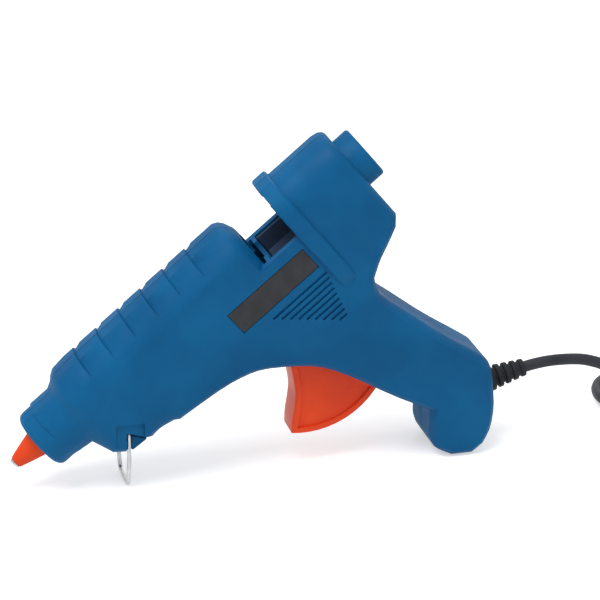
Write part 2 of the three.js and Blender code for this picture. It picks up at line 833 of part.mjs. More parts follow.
// Solid backing that the pockets are cut into.
function standBoss(side) {
  const inner = legSpread - hookDepth - seatGap;
  const radius = pocketRadius;
  const [y0, y1] = side < 0 ? [-bodyHalfWidth, -inner] : [inner, bodyHalfWidth];
  return join(
    crossBar(standPivot, radius, y0, y1, 12),
    slab(bandOutline(standPivot, restAngle, radius, 3 * radius), y0, y1),
    slab(bandOutline(standPivot, foldAngle, radius, 3 * radius), y0, y1),
  );
}

// Finger grooves over the barrel's top, deepest at their front edge and running out on the shoulders.
const grooveCount = 6;
const grooveFirst = 0.211;
const groovePitch = 11.8;
const grooveWidth = 3.2;
const grooveDepth = 0.7;
const grooveDrop = 2.8;
const grooveRunOut = 0.62 * barrelTop;

function gripGrooves() {
  const radius = barrelTop - grooveDepth + grooveDrop;
  const cuts = [];
  for (let i = 0; i < grooveCount; i++) {
    const x0 = along(grooveFirst) + i * groovePitch;
    const x1 = x0 + grooveWidth;
    const reach = bodyHalfWidth + cutOverrun;
    const blank = box(x0, x1, -reach, reach, grooveRunOut, barrelTop + cutOverrun);
    const floor = turned([[x0 - seatGap, 0], [x0 - seatGap, radius], [x1 + seatGap, radius + grooveDepth + seatGap],
      [x1 + seatGap, 0]], 24);
    cuts.push(blank.subtract(floor.translate([0, 0, -grooveDrop])));
  }
  return cuts;
}

// Shallow slanted vent grooves under the plate, each shorter than the one above.
const ventCount = 9;
const ventFirst = place([0.6175, -0.162]);
const ventLast = place([0.732, -0.315]);
const ventFirstLength = 28;
const ventLastLength = 3.6;
const ventHalfHeight = 0.55;
const ventDepth = 0.8;

function ventGrooves(side) {
  const cuts = [];
  for (let i = 0; i < ventCount; i++) {
    const share = i / (ventCount - 1);
    const x0 = THREE.MathUtils.lerp(ventFirst.x, ventLast.x, share);
    const z = THREE.MathUtils.lerp(ventFirst.y, ventLast.y, share);
    const length = THREE.MathUtils.lerp(ventFirstLength, ventLastLength, share);
    const [y0, y1] = side < 0
      ? [-gripHalfWidth - cutOverrun, -gripHalfWidth + ventDepth]
      : [gripHalfWidth - ventDepth, gripHalfWidth + cutOverrun];
    cuts.push(box(x0, x0 + length, y0, y1, z - ventHalfHeight, z + ventHalfHeight));
  }
  return cuts;
}

const plateStart = place([0.545, -0.051]);
const plateLength = 39;
const plateHeight = 10.2;
const plateThick = 0.4;
const plateRecess = 0.7;

function plateBlank(margin, y0, y1) {
  return box(plateStart.x - margin, plateStart.x + plateLength + margin, y0, y1,
    plateStart.y - plateHeight - margin, plateStart.y + margin);
}

// Screws: bosses join the shells, heads sit in deep holes on the far side.
const bossRadius = 3.4;
const screwRadius = 1.4;
const screwHeadRadius = 2.7;
const screwHeadHeight = 2;
const screwHeadSeat = 5;
const screwLength = 13;
const screwHole = screwRadius + pinClearance;
const headHole = screwHeadRadius + slideGap;
const screwSpots = {
  screw_nose: place([0.262, -0.158]),
  screw_barrel: place([0.605, 0.093]),
  screw_middle: place([0.5, -0.205]),
  screw_block: place([0.945, -0.185]),
  screw_grip: place([0.81, -0.43]),
  screw_butt: place([0.78, -0.905]),
};
const partingHalfGap = 0.15;

function housingScrew(spot) {
  const head = crossBar(spot, screwHeadRadius, screwHeadSeat, screwHeadSeat + screwHeadHeight, 14);
  const shank = crossBar(spot, screwRadius, screwHeadSeat - screwLength, screwHeadSeat, 8);
  const reach = screwHeadSeat + screwHeadHeight;
  const arm = 0.62 * screwHeadRadius;
  const bar = screwRadius / 4;
  const slotDepth = screwHeadHeight / 2;
  const recess = join(
    box(spot.x - arm, spot.x + arm, reach - slotDepth, reach + cutOverrun, spot.y - bar, spot.y + bar),
    box(spot.x - bar, spot.x + bar, reach - slotDepth, reach + cutOverrun, spot.y - arm, spot.y + arm),
  );
  return join(head, shank).subtract(recess);
}

// Lead inlet and what holds it inside the grip

const reliefSpot = place([0.889, -0.889]);
const reliefTilt = 13 * degree - pitch;
const reliefDir = new THREE.Vector2(Math.cos(reliefTilt), Math.sin(reliefTilt));
const reliefNeckRadius = 3.7;
const reliefBaseRadius = 5.6;
const reliefEndRadius = 3.8;
const reliefSkin = 0.6;
const reliefLength = 17.5;
const reliefInside = 6;
const reliefRibs = 4;
const cordDiameter = 4.8;
const cordRadius = cordDiameter / 2;

// A turned form about the lead's axis where it leaves the grip.
function onReliefAxis(piece) {
  const degrees = (reliefTilt * 180) / Math.PI;
  return piece.rotate([0, -degrees, 0]).translate([reliefSpot.x, 0, reliefSpot.y]);
}

function strainRelief() {
  const start = -reliefInside;
  const baseFrom = seatGap + 0.8;
  const baseEnd = baseFrom + 2.6;
  const ribPitch = (reliefLength - baseEnd) / reliefRibs;
  const profile = [
    [start, cordRadius + seatGap],
    [start, reliefBaseRadius],
    [start + 2, reliefBaseRadius],
    [start + 2, reliefNeckRadius],
    [baseFrom, reliefNeckRadius],
    [baseFrom, reliefBaseRadius],
    [baseEnd, reliefBaseRadius - 0.4],
  ];
  for (let i = 0; i < reliefRibs; i++) {
    const from = baseEnd + i * ribPitch;
    const share = i / (reliefRibs - 1);
    const outer = THREE.MathUtils.lerp(reliefBaseRadius - reliefSkin, reliefEndRadius, share);
    const groove = THREE.MathUtils.lerp(reliefNeckRadius, cordRadius + seatGap + reliefSkin, share);
    profile.push([from, groove], [from + 0.42 * ribPitch, groove]);
    profile.push([from + 0.5 * ribPitch, outer], [from + 0.92 * ribPitch, outer - 0.1]);
  }
  profile.push([reliefLength, cordRadius + seatGap + reliefSkin], [reliefLength, cordRadius + seatGap]);
  profile.push([start, cordRadius + seatGap]);
  return onReliefAxis(turned(profile, 14));
}

const reliefEnd = reliefSpot.clone().add(reliefDir.clone().multiplyScalar(reliefLength));
const reliefStart = reliefSpot.clone().sub(reliefDir.clone().multiplyScalar(reliefInside));
const clampSpot = place([0.833, -0.794]);
const blockSpot = place([0.8, -0.63]);
const terminalHalf = new THREE.Vector3(5.5, 6, 8);
const clampScrewOffset = 5.2;
const clampThick = 2.2;
const clampHalfLength = 7.4;
const clampHalfWidth = 2.6;
const clampScrewRadius = 1.1;
const clampScrewHead = 2;
const clampScrewDepth = 5;
const clampDir = clampSpot.clone().sub(blockSpot).normalize();
const clampSide = new THREE.Vector2(-clampDir.y, clampDir.x);
const clampFloor = -cordRadius - seatGap;
const clampTop = cordRadius + seatGap;

function barOutline(middle, dir, halfLength, halfWidth) {
  const side = new THREE.Vector2(-dir.y, dir.x).multiplyScalar(halfWidth);
  const reach = dir.clone().multiplyScalar(halfLength);
  return outlineShape([
    middle.clone().sub(reach).sub(side),
    middle.clone().add(reach).sub(side),
    middle.clone().add(reach).add(side),
    middle.clone().sub(reach).add(side),
  ]);
}

const clampScrewSpots = [-1, 1].map((sign) => clampSpot.clone().add(clampSide.clone().multiplyScalar(
  sign * clampScrewOffset)));

function cordClamp() {
  const bar = slab(barOutline(clampSpot, clampSide, clampHalfLength, clampHalfWidth), clampTop, clampTop + clampThick);
  const holes = clampScrewSpots.map((spot) => crossBar(spot, clampScrewRadius + pinClearance, clampTop - cutOverrun,
    clampTop + clampThick + cutOverrun, 12));
  return cut(bar, ...holes);
}

function clampScrew(spot) {
  const seat = clampTop + clampThick + seatGap / 2;
  return join(
    crossBar(spot, clampScrewHead, seat, seat + 1.4 * clampScrewRadius, 16),
    crossBar(spot, clampScrewRadius, clampFloor - clampScrewDepth, seat, 12),
  );
}

// The clamp's platform stands on the near shell.
function clampPlatform() {
  const base = barOutline(clampSpot, clampSide, clampHalfLength, clampHalfWidth + 0.6);
  const holes = clampScrewSpots.map((spot) => crossBar(spot, clampScrewRadius + pinClearance,
    clampFloor - clampScrewDepth - pinClearance, clampFloor + cutOverrun, 12));
  return cut(slab(base, -gripHalfWidth + wall / 2, clampFloor), ...holes);
}

function terminalBlock() {
  const blank = slab(barOutline(blockSpot, clampDir, terminalHalf.z, terminalHalf.x), -terminalHalf.y,
    terminalHalf.y);
  const divider = slab(barOutline(blockSpot, clampDir, terminalHalf.z + cutOverrun, 0.5), terminalHalf.y - 3,
    terminalHalf.y + cutOverrun);
  return blank.subtract(divider);
}

function inPlane(spot, y = 0) {
  return new THREE.Vector3(spot.x, y, spot.y);
}

function cordTail() {
  const entry = reliefStart.clone().add(reliefDir.clone().multiplyScalar(-seatGap));
  const inward = entry.clone().sub(reliefDir.clone().multiplyScalar(2));
  const last = blockSpot.clone().add(clampDir.clone().multiplyScalar(terminalHalf.z + seatGap));
  const before = last.clone().add(clampDir.clone().multiplyScalar(2));
  const path = new THREE.CatmullRomCurve3(
    [inPlane(entry), inPlane(inward), inPlane(clampSpot), inPlane(before), inPlane(last)], false, 'centripetal');
  return tube(path, cordRadius, 12, 8);
}

// Heater leads, one along each side.
const leadRadius = 0.8;
const leadSpots = [
  [0.435, -0.1215, 0.28], [0.49, -0.155, 0.5], [0.6, -0.205, 0.7], [0.7, -0.28, 0.72], [0.755, -0.42, 0.66],
];

function heaterLead(side) {
  const spots = leadSpots.map(([x, z, y]) => inPlane(place([x, z]), side * y * gripHalfWidth));
  for (const reach of [terminalHalf.x, seatGap]) {
    const spot = blockSpot.clone().sub(clampDir.clone().multiplyScalar(terminalHalf.z + reach));
    spots.push(inPlane(spot, (side * terminalHalf.y) / 2));
  }
  const path = new THREE.CatmullRomCurve3(spots, false, 'centripetal');
  return tube(path, leadRadius, 18, 5);
}

// Inner ribs of both shells

const railReach = 9.9;

function ribRing(x0, x1, bore, outer) {
  return ring(x0, x1, bore, outer, 16);
}

function innerRibs() {
  const side = bodyHalfWidth;
  const groove = (x, radius) => [
    ribRing(x - seatGap - ribThick, x - seatGap, radius - supportHold, bodyHalfWidth + 1),
    ribRing(x + supportThick + seatGap, x + supportThick + seatGap + ribThick, radius - supportHold,
      bodyHalfWidth + 1),
    ribRing(x - seatGap, x + supportThick + seatGap, radius + seatGap, bodyHalfWidth + 1),
  ];
  const sleeveSeat = ribRing(sleeveEnd - 4, sleeveEnd - 2, stickBore + sleeveWall + seatGap, bodyHalfWidth + 1);
  const bulkhead = box(barrelRear + 0.6, cradleFront - seatGap, -side, side, cradleFloor + 0.6, troughTop);
  const rail = (z0, z1) => [-1, 1].map((sign) => {
    const [y0, y1] = sign < 0 ? [-side, -railReach] : [railReach, side];
    return box(blockFront + wall, blockRear - wall, y0, y1, z0, z1);
  });
  const ledge = [-1, 1].map((sign) => {
    const [y0, y1] = sign < 0 ? [-side, -cradleReach + 2] : [cradleReach - 2, side];
    return box(cradleFront, cradleRear, y0, y1, cradleFloor - seatGap - ribThick, cradleFloor - seatGap);
  });
  const bosses = Object.values(screwSpots).map((spot) => crossBar(spot, bossRadius, -side, side, 10));
  const pivotBoss = cut(
    crossBar(triggerPivot, triggerPin + wall, -side, side),
    box(triggerPivot.x - hubRadius, triggerPivot.x + hubRadius, -triggerHalfWidth - seatGap,
      triggerHalfWidth + seatGap, triggerPivot.y - hubRadius, triggerPivot.y + hubRadius),
  );
  const post = crossBar(springPost, springPostRadius, -side, side, 10);
  const pocket = slab(barOutline(blockSpot, clampDir, terminalHalf.z / 2, terminalHalf.x + seatGap + ribThick),
    -side, side);
  const pocketRoom = slab(barOutline(blockSpot, clampDir, terminalHalf.z, terminalHalf.x + seatGap),
    -terminalHalf.y - seatGap, terminalHalf.y + seatGap);
  const reliefSeat = onReliefAxis(turned([
    [-reliefInside - 2, reliefBaseRadius + seatGap],
    [-reliefInside - 2, reliefBaseRadius + 2],
    [-wall, reliefBaseRadius + 2],
    [-wall, reliefNeckRadius + seatGap],
    [-reliefInside + 2 + seatGap, reliefNeckRadius + seatGap],
    [-reliefInside + 2 + seatGap, reliefBaseRadius + seatGap],
    [-reliefInside - 2, reliefBaseRadius + seatGap],
  ], 14));
  return join(
    ...groove(frontSupportAt, frontSupportRadius),
    ...groove(rearSupportAt, rearSupportRadius),
    sleeveSeat,
    bulkhead,
    ...rail(wingHalfHeight + slideGap, wingHalfHeight + slideGap + ribThick),
    ...rail(-wingHalfHeight - slideGap - ribThick, -wingHalfHeight - slideGap),
    ...ledge,
    ...bosses,
    pivotBoss,
    post,
    pocket.subtract(pocketRoom),
    reliefSeat,
    standBoss(-1),
    standBoss(1),
  );
}

// Notches that let the heater leads past the rear support's ribs.
function leadRoom() {
  const [x0, x1] = [rearSupportAt - 2 * ribThick, rearSupportAt + supportThick + 2 * ribThick];
  const [inner, outer] = [0.16 * bodyHalfWidth, 0.46 * bodyHalfWidth];
  const [low, high] = [-rearSupportRadius - 3.6 * ribThick, -rearSupportRadius - ribThick / 2];
  return [-1, 1].map((side) => box(x0, x1, Math.min(side * inner, side * outer),
    Math.max(side * inner, side * outer), low, high));
}

// The trigger's room: the sector that it sweeps, open at the front of the grip.
function triggerRoom() {
  const half = triggerHalfWidth + slideGap;
  const shape = sector(triggerPivot, triggerRadius + 0.7, tipAngle - 12 * degree,
    triggerRearAngle + (triggerTravel + 4) * degree);
  const top = crossBar(triggerPivot, hubRadius + 0.6, -half, half, 16);
  const frontRoom = outlineShape([
    triggerPivot.clone(),
    triggerTop.clone().add(new THREE.Vector2(-hubRadius, 0)),
    triggerTop.clone().add(new THREE.Vector2(0, 1.6)),
    triggerPivot.clone().add(new THREE.Vector2(0, hubRadius)),
  ]);
  return join(slab(shape, -half, half, 10), top, slab(frontRoom, -half, half));
}

// The arm and the link move in a slot above the trigger.
function armRoom() {
  const half = forkHalfWidth + slideGap;
  const sweep = armLength + linkHalfHeight + 1.2;
  const lean = armRestLean + 16;
  const shape = sector(triggerPivot, sweep, (90 - lean) * degree, (90 + lean) * degree);
  const linkHalf = linkHalfThick + slideGap;
  const linkHeight = linkHalfHeight + 3 * slideGap;
  return join(
    slab(shape, -half, half),
    box(triggerPivot.x, carriagePinSpot.x, -linkHalf, linkHalf, armPin.y - linkHeight, armPin.y + linkHeight),
  );
}

// The rear block's front opening, wide enough for the carriage.
function carriageDoor() {
  const half = wingReach + 0.6;
  const [x0, x1] = [blockFront - cutOverrun, blockFront + wall + seatGap];
  return join(
    disc(x0, x1, carriageRadius + 0.8),
    box(x0, x1, -half, half, cradleFloor - 3 * wall, wingHalfHeight + 0.6),
  );
}

function troughRoom() {
  const half = cradleReach + seatGap;
  return join(
    box(cradleFront - seatGap, blockFront + seatGap, -half, half, cradleFloor - seatGap, barrelTop),
    box(barrelRear - 1, barrelRear + 0.6, -half, half, cradleFloor + wall, barrelTop),
  );
}

// The closed body before it is parted: skin, ribs and every opening that both shells share.
function housing() {
  const outer = join(bodyForm(0), noseForm(), blockRim(), collarForm());
  const noseBore = disc(noseFront + noseWall, noseFront + noseLength + cutOverrun, noseRadius - wall, 20);
  const cavity = join(bodyForm(wall), noseBore);
  const ribs = innerRibs().intersect(bodyForm(0));
  const skin = join(outer.subtract(cavity), ribs);
  return cut(
    skin,
    disc(noseFront - cutOverrun, noseFront + noseWall + cutOverrun, capHole, 16),
    disc(noseFront + noseWall, frontSupportAt - seatGap - ribThick, noseRadius - wall, 20),
    disc(sleeveEnd, cradleFront, barrelHole, 16),
    disc(blockRear - 3 * wall, blockRear + collarReach + cutOverrun, stickBore + 0.2, 20),
    troughRoom(),
    carriageDoor(),
    triggerRoom(),
    armRoom(),
    ...leadRoom(),
    crossBar(triggerPivot, triggerPin + pinClearance, -bodyHalfWidth + 1.5 * wall, bodyHalfWidth - 1.5 * wall),
    onReliefAxis(disc(-3 * wall, 3 * wall, reliefNeckRadius + seatGap, 14)),
    standPocket(-1),
    standPocket(1),
    ...gripGrooves(),
    ...ventGrooves(-1),
    ...ventGrooves(1),
  );
}

function buildShells() {
  const body = housing();
  const far = 2 * bodyDrop;
  const nearHalf = box(-far, 2 * far, -far, -partingHalfGap, -far, far);
  const farHalf = box(-far, 2 * far, partingHalfGap, far, -far, far);
  const spots = Object.values(screwSpots);
  const blind = spots.map((spot) => crossBar(spot, screwHole, screwHeadSeat - screwLength - 1, cutOverrun, 8));
  const through = spots.map((spot) => crossBar(spot, screwHole, -cutOverrun, screwHeadSeat + cutOverrun, 8));
  const heads = spots.map((spot) => crossBar(spot, headHole, screwHeadSeat - seatGap / 2,
    bodyHalfWidth + cutOverrun, 14));
  const left = cut(
    join(body.intersect(nearHalf), clampPlatform()),
    plateBlank(seatGap, -bodyHalfWidth - cutOverrun, -gripHalfWidth + plateRecess),
    ...blind,
  );
  const right = cut(body.intersect(farHalf), ...through, ...heads);
  add('left_shell', left, bluePlastic());
  add('right_shell', right, bluePlastic());
}

buildShells();
add('nozzle_cap', nozzleCap(), orangeRubber());
add('nozzle_tip', nozzle(), brightSteel());
add('melt_chamber', meltChamber(), castAluminium());
add('heater_plate', heaterPlate(), whiteCeramic());
add('heater_clamp', heaterClamp(), brightSteel());
add('front_support', supportPlate(frontSupportAt, 0.75 * chamberRadius + seatGap, frontSupportRadius), whiteCeramic());
add('rear_support', supportPlate(rearSupportAt, spigotRadius + seatGap, rearSupportRadius), whiteCeramic());
add('inlet_sleeve', inletSleeve(), greyRubber());
add('sleeve_band', sleeveBand(), brightSteel());
add('stick_cradle', stickCradle(), blackPlastic());
add('feed_carriage', feedCarriage(), blackPlastic());
add('stick_gripper', stickGripper(), brightSteel());
add('gripper_pin', crossPin(gripperSpot, gripperPinRadius, footHalfWidth, 12), brightSteel());
add('carriage_pin', crossPin(carriagePinSpot, smallPin, footHalfWidth, 12), brightSteel());
add('link_arm', linkArm(), brightSteel());
add('link_pin', crossPin(armPin, smallPin, forkHalfWidth, 12), brightSteel());
add('trigger', trigger(), orangePlastic());
add('trigger_pin', crossPin(triggerPivot, triggerPin, bodyHalfWidth - 1.7 * wall), brightSteel());
add('return_spring', returnSpring(), brightSteel());
add('wire_stand', wireStand(), brightSteel());
for (const [name, spot] of Object.entries(screwSpots)) {
  add(name, housingScrew(spot), brightSteel());
}
add('rating_plate', plateBlank(0, -gripHalfWidth + plateRecess - plateThick - seatGap / 2,
  -gripHalfWidth + plateRecess - seatGap / 2), plateFoil());
add('strain_relief', strainRelief(), greyRubber());
add('cord_clamp', cordClamp(), blackPlastic());
clampScrewSpots.forEach((spot, i) => add(`clamp_screw_${i + 1}`, clampScrew(spot), brightSteel()));
add('terminal_block', terminalBlock(), whiteCeramic());
add('cord_tail', cordTail(), cordSheath());
add('lead_live', heaterLead(-1), orangeRubber());
add('lead_neutral', heaterLead(1), whiteCeramic());

// The gun stands on the bench with the middle of its length over the origin.
gun.rotation.y = -pitch;
gun.position.set(0, 0, tipHeight);
const gunReach = new THREE.Box3();
gun.updateMatrixWorld(true);
for (const mesh of gun.children.filter((piece) => piece.name !== 'strain_relief')) gunReach.expandByObject(mesh, true);
const tipAhead = (gunReach.min.x + gunReach.max.x) / 2;
gun.position.x = -tipAhead;

const onBench = (spot) => new THREE.Vector2(
  spot.x * Math.cos(pitch) - spot.y * Math.sin(pitch) - tipAhead,
  benchHeight(spot) + tipHeight,
);

// The lead outside the gun lies on the bench's own axes: its free stretch, then a hank tied at the waist.
const hankMiddleX = 223;
const hankRun = 72;
const innerFold = 14.5;
const loopPitch = 6.2;
const hankLoops = 3;
const quarterSteps = 6;
const layerStep = 5.5;
const waistDraw = 11.5;
const tieThick = 0.8;
const tieWidth = 6;
const tieRoom = 1;
const plugThick = 13.7;
const plugWidth = 35.3;
const plugLength = 34;
const plugNeck = 12;
const plugNeckRadius = 4.4;
const plugTail = 4;
const plugNest = 6.5;
const plugRounding = 3;
const plugPinRadius = 2;
const plugPinLength = 19;
const plugPinSpread = 18.6;
const plugPinSocket = 5;

const outerFold = innerFold + (hankLoops / 2) * loopPitch;
const topLayer = cordRadius + layerStep;
const plugLine = outerFold + cordRadius + 2 * seatGap + plugWidth / 2 - plugNest;
const hankPlace = (x, y, z) => new THREE.Vector3(hankMiddleX + x, outerFold + y, z);
const ease = (share) => (1 - Math.cos(share * Math.PI)) / 2;

// The fold radius after a number of loops: in on the top layer, level on the climb, out on the lower one.
function foldRadius(loops) {
  const turnBack = hankLoops / 2;
  if (loops <= turnBack) return outerFold - loops * loopPitch;
  return innerFold + Math.max(0, loops - turnBack - 0.25) * loopPitch;
}

function layerHeight(loops) {
  const climb = THREE.MathUtils.clamp((loops - hankLoops / 2) / 0.25, 0, 1);
  return topLayer - layerStep * ease(climb);
}

const waistShare = (x) => (1 + Math.cos((2 * Math.PI * x) / hankRun)) / 2;

// A place in the hank: each loop is a near run, a fold, a far run and a fold.
function hankSpot(step) {
  const loops = step / (4 * quarterSteps);
  const quarter = Math.floor(step / quarterSteps) % 4;
  const share = (step % quarterSteps) / quarterSteps;
  const radius = foldRadius(loops);
  const height = layerHeight(loops);
  const way = quarter < 2 ? 1 : -1;
  if (quarter % 2 === 0) {
    const x = way * (share - 0.5) * hankRun;
    const drawn = waistShare(x);
    return hankPlace(x, -way * (radius - waistDraw * drawn), height + (tieThick + seatGap) * drawn);
  }
  const turn = (way > 0 ? -0.5 : 0.5) * Math.PI + share * Math.PI;
  return hankPlace(way * (hankRun / 2) + radius * Math.cos(turn), radius * Math.sin(turn), height);
}

// The last fold swings wide and rises to the plug.
function lastFold() {
  const start = foldRadius(hankLoops - 0.25);
  const radius = (start + plugLine) / 2;
  const spots = [];
  for (let i = 0; i <= 2 * quarterSteps; i++) {
    const share = i / (2 * quarterSteps);
    const turn = (0.5 + share) * Math.PI;
    const height = THREE.MathUtils.lerp(cordRadius, plugThick / 2, ease(share));
    spots.push(hankPlace(-hankRun / 2 + radius * Math.cos(turn), start - radius + radius * Math.sin(turn), height));
  }
  return spots;
}

function hankRoute() {
  const spots = [hankPlace(-hankRun / 2 - cordDiameter, -outerFold, topLayer)];
  const foldStart = (4 * hankLoops - 1) * quarterSteps;
  for (let step = 0; step < foldStart; step++) spots.push(hankSpot(step));
  spots.push(...lastFold());
  spots.push(hankPlace(-hankRun / 2 + plugTail, -plugLine, plugThick / 2));
  return spots;
}

// A tube through spots that lie nearly level, with a corner of its section below.
function levelTube(spots, radius, sides) {
  const up = new THREE.Vector3(0, 0, 1);
  const rings = spots.map((spot, i) => {
    const ahead = spots[Math.min(i + 1, spots.length - 1)].clone();
    const heading = ahead.sub(spots[Math.max(i - 1, 0)]).normalize();
    const side = new THREE.Vector3().crossVectors(up, heading).normalize();
    const rise = new THREE.Vector3().crossVectors(heading, side);
    return Array.from({ length: sides }, (_, k) => {
      const turn = (k / sides) * 2 * Math.PI + Math.PI / 2;
      return spot.clone()
        .addScaledVector(side, radius * Math.cos(turn))
        .addScaledVector(rise, radius * Math.sin(turn));
    });
  });
  return loft(rings);
}

// The least room between two stretches of a route that are not neighbours along it.
function leastGap(spots, diameter) {
  const fine = [];
  for (let i = 0; i < spots.length - 1; i++) {
    for (let k = 0; k < quarterSteps; k++) fine.push(spots[i].clone().lerp(spots[i + 1], k / quarterSteps));
  }
  const travelled = [0];
  for (let i = 1; i < fine.length; i++) travelled.push(travelled[i - 1] + fine[i].distanceTo(fine[i - 1]));
  let least = Infinity;
  for (let i = 0; i < fine.length; i++) {
    for (let j = i + 1; j < fine.length; j++) {
      if (travelled[j] - travelled[i] < 4 * diameter) continue;
      least = Math.min(least, fine[i].distanceTo(fine[j]));
    }
  }
  return { least: least - diameter, length: travelled[travelled.length - 1] };
}

// The free stretch from inside the strain relief to the hank's top layer, as places on the bench.
const freeRoute = [
  [121.6, 31], [127, 31.5], [132.6, 31.5], [138.2, 31.1], [142.5, 30.4], [146.7, 29.1], [150.8, 27.4],
  [154.3, 25.2], [157.3, 22.6], [160, 19.6], [162.6, 16.5], [165.6, 13.6], [169.1, 11.1], [173, 9.3],
  [177.2, 8.3], [181.8, 7.9],
];
const freeSteps = 13;
const freeSides = 10;

function freeCord() {
  const inside = onBench(reliefStart);
  const mouth = onBench(reliefEnd);
  const middle = inside.clone().lerp(mouth, 0.5);
  const spots = [inside, middle, mouth].map((spot) => inPlane(spot));
  spots.push(...freeRoute.map(([x, z]) => new THREE.Vector3(x, 0, z)));
  return tube(new THREE.CatmullRomCurve3(spots, false, 'centripetal'), cordRadius, freeSteps, freeSides);
}

// A form whose outline lies in the plane across the hank, thickened along it.
function hankSlice(shape, x0, x1) {
  const geometry = new THREE.ExtrudeGeometry(shape, { depth: x1 - x0, bevelEnabled: false, curveSegments: 4 });
  const axes = [new THREE.Vector3(0, 1, 0), new THREE.Vector3(0, 0, 1), new THREE.Vector3(1, 0, 0)];
  geometry.applyMatrix4(new THREE.Matrix4().makeBasis(...axes));
  return solid(geometry.translate(hankMiddleX + x0, outerFold, 0));
}

function roundedOutline(y0, y1, z0, z1, radius) {
  const shape = new THREE.Shape();
  shape.moveTo(y0 + radius, z0);
  shape.absarc(y1 - radius, z0 + radius, radius, -Math.PI / 2, 0);
  shape.absarc(y1 - radius, z1 - radius, radius, 0, Math.PI / 2);
  shape.absarc(y0 + radius, z1 - radius, radius, Math.PI / 2, Math.PI);
  shape.absarc(y0 + radius, z0 + radius, radius, Math.PI, 1.5 * Math.PI);
  return shape;
}

function hankTie() {
  const near = -(foldRadius(0.125) - waistDraw) - cordRadius - tieRoom - tieThick;
  const far = foldRadius(0.625) - waistDraw + cordRadius + tieRoom + tieThick;
  const top = topLayer + cordRadius + 2 * (tieThick + seatGap);
  const corner = cordRadius + tieThick;
  const band = hankSlice(roundedOutline(near, far, 0, top, corner), -tieWidth / 2, tieWidth / 2);
  const inner = roundedOutline(near + tieThick, far - tieThick, tieThick, top - tieThick, cordRadius);
  return band.subtract(hankSlice(inner, -tieWidth / 2 - cutOverrun, tieWidth / 2 + cutOverrun));
}

// The plug's places, from its middle line and the end of its neck.
const plugStart = -hankRun / 2 + plugTail + seatGap;
const plugPlace = (x, y = 0) => hankPlace(plugStart + x, -plugLine + y, plugThick / 2);

// A form turned about the plug's axis, moved sideways to a pin or left on the middle line.
function onPlugAxis(piece, side = 0) {
  const origin = plugPlace(0, side);
  return piece.translate([origin.x, origin.y, origin.z]);
}

const plugPinSides = [-plugPinSpread / 2, plugPinSpread / 2];

function plugBody() {
  const face = plugNeck + plugLength;
  const half = plugWidth / 2 - plugRounding;
  const shape = new THREE.Shape();
  shape.moveTo(face - plugRounding, -half);
  shape.lineTo(face - plugRounding, half);
  shape.lineTo(face - plugLength / 2, half - plugRounding / 2);
  shape.quadraticCurveTo(plugNeck + plugRounding, half - plugRounding, plugNeck + plugRounding, plugNeckRadius);
  shape.lineTo(plugNeck + plugRounding, -plugNeckRadius);
  shape.quadraticCurveTo(plugNeck + plugRounding, plugRounding - half, face - plugLength / 2, plugRounding / 2 - half);
  const geometry = new THREE.ExtrudeGeometry(shape, {
    depth: plugThick - 2 * plugRounding,
    curveSegments: 5,
    bevelEnabled: true,
    bevelThickness: plugRounding,
    bevelSize: plugRounding,
    bevelSegments: 3,
  });
  const block = onPlugAxis(solid(geometry.translate(0, 0, plugRounding - plugThick / 2)));
  const neck = onPlugAxis(turned([
    [0, 0],
    [0, cordRadius + tieRoom],
    [plugNeck + plugRounding, plugNeckRadius + tieRoom],
    [plugNeck + plugRounding, 0],
  ], 14));
  const sockets = plugPinSides.map((side) => onPlugAxis(
    disc(face - plugPinSocket, face + cutOverrun, plugPinRadius + seatGap, 14), side));
  return cut(join(block, neck), ...sockets);
}

function plugPin(side) {
  const start = plugNeck + plugLength - plugPinSocket + seatGap;
  const end = plugNeck + plugLength + plugPinLength;
  return onPlugAxis(turned([
    [start, 0],
    [start, plugPinRadius],
    [end - plugPinRadius, plugPinRadius],
    [end - plugPinRadius / 3, plugPinRadius * 0.7],
    [end, 0],
  ], 12), side);
}

const addLead = (name, piece, material) => addTo(lead, name, piece, material);

function buildLead() {
  const route = hankRoute();
  const measured = leastGap(route, cordDiameter);
  console.log(`hank: least gap ${measured.least.toFixed(2)} mm, length ${measured.length.toFixed(0)} mm`);
  addLead('cord', freeCord(), cordSheath());
  addLead('cord_hank', levelTube(route, cordRadius, 6), cordSheath());
  addLead('hank_tie', hankTie(), blackPlastic());
  addLead('plug_body', plugBody(), blackPlastic());
  plugPinSides.forEach((side, i) => addLead(`plug_pin_${i + 1}`, plugPin(side), brightSteel()));
}

buildLead();

const hotGlueGun = new THREE.Group();
hotGlueGun.add(gun, lead);

export default hotGlueGun;
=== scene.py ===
import math
import bmesh
import bpy
import numpy as np
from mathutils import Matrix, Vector


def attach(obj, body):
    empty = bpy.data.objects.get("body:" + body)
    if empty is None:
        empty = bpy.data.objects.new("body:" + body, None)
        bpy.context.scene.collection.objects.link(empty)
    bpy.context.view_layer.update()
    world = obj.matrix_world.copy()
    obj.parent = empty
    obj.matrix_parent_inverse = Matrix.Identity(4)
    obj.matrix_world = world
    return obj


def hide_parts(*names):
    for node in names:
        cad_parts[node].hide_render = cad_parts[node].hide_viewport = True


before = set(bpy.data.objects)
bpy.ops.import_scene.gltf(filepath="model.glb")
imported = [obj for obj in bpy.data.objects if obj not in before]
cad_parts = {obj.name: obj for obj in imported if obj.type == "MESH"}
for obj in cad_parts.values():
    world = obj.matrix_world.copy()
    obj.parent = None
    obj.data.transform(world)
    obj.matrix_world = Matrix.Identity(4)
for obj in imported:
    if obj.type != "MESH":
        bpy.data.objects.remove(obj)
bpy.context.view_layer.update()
print("frame loaded:", len(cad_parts), "nodes")


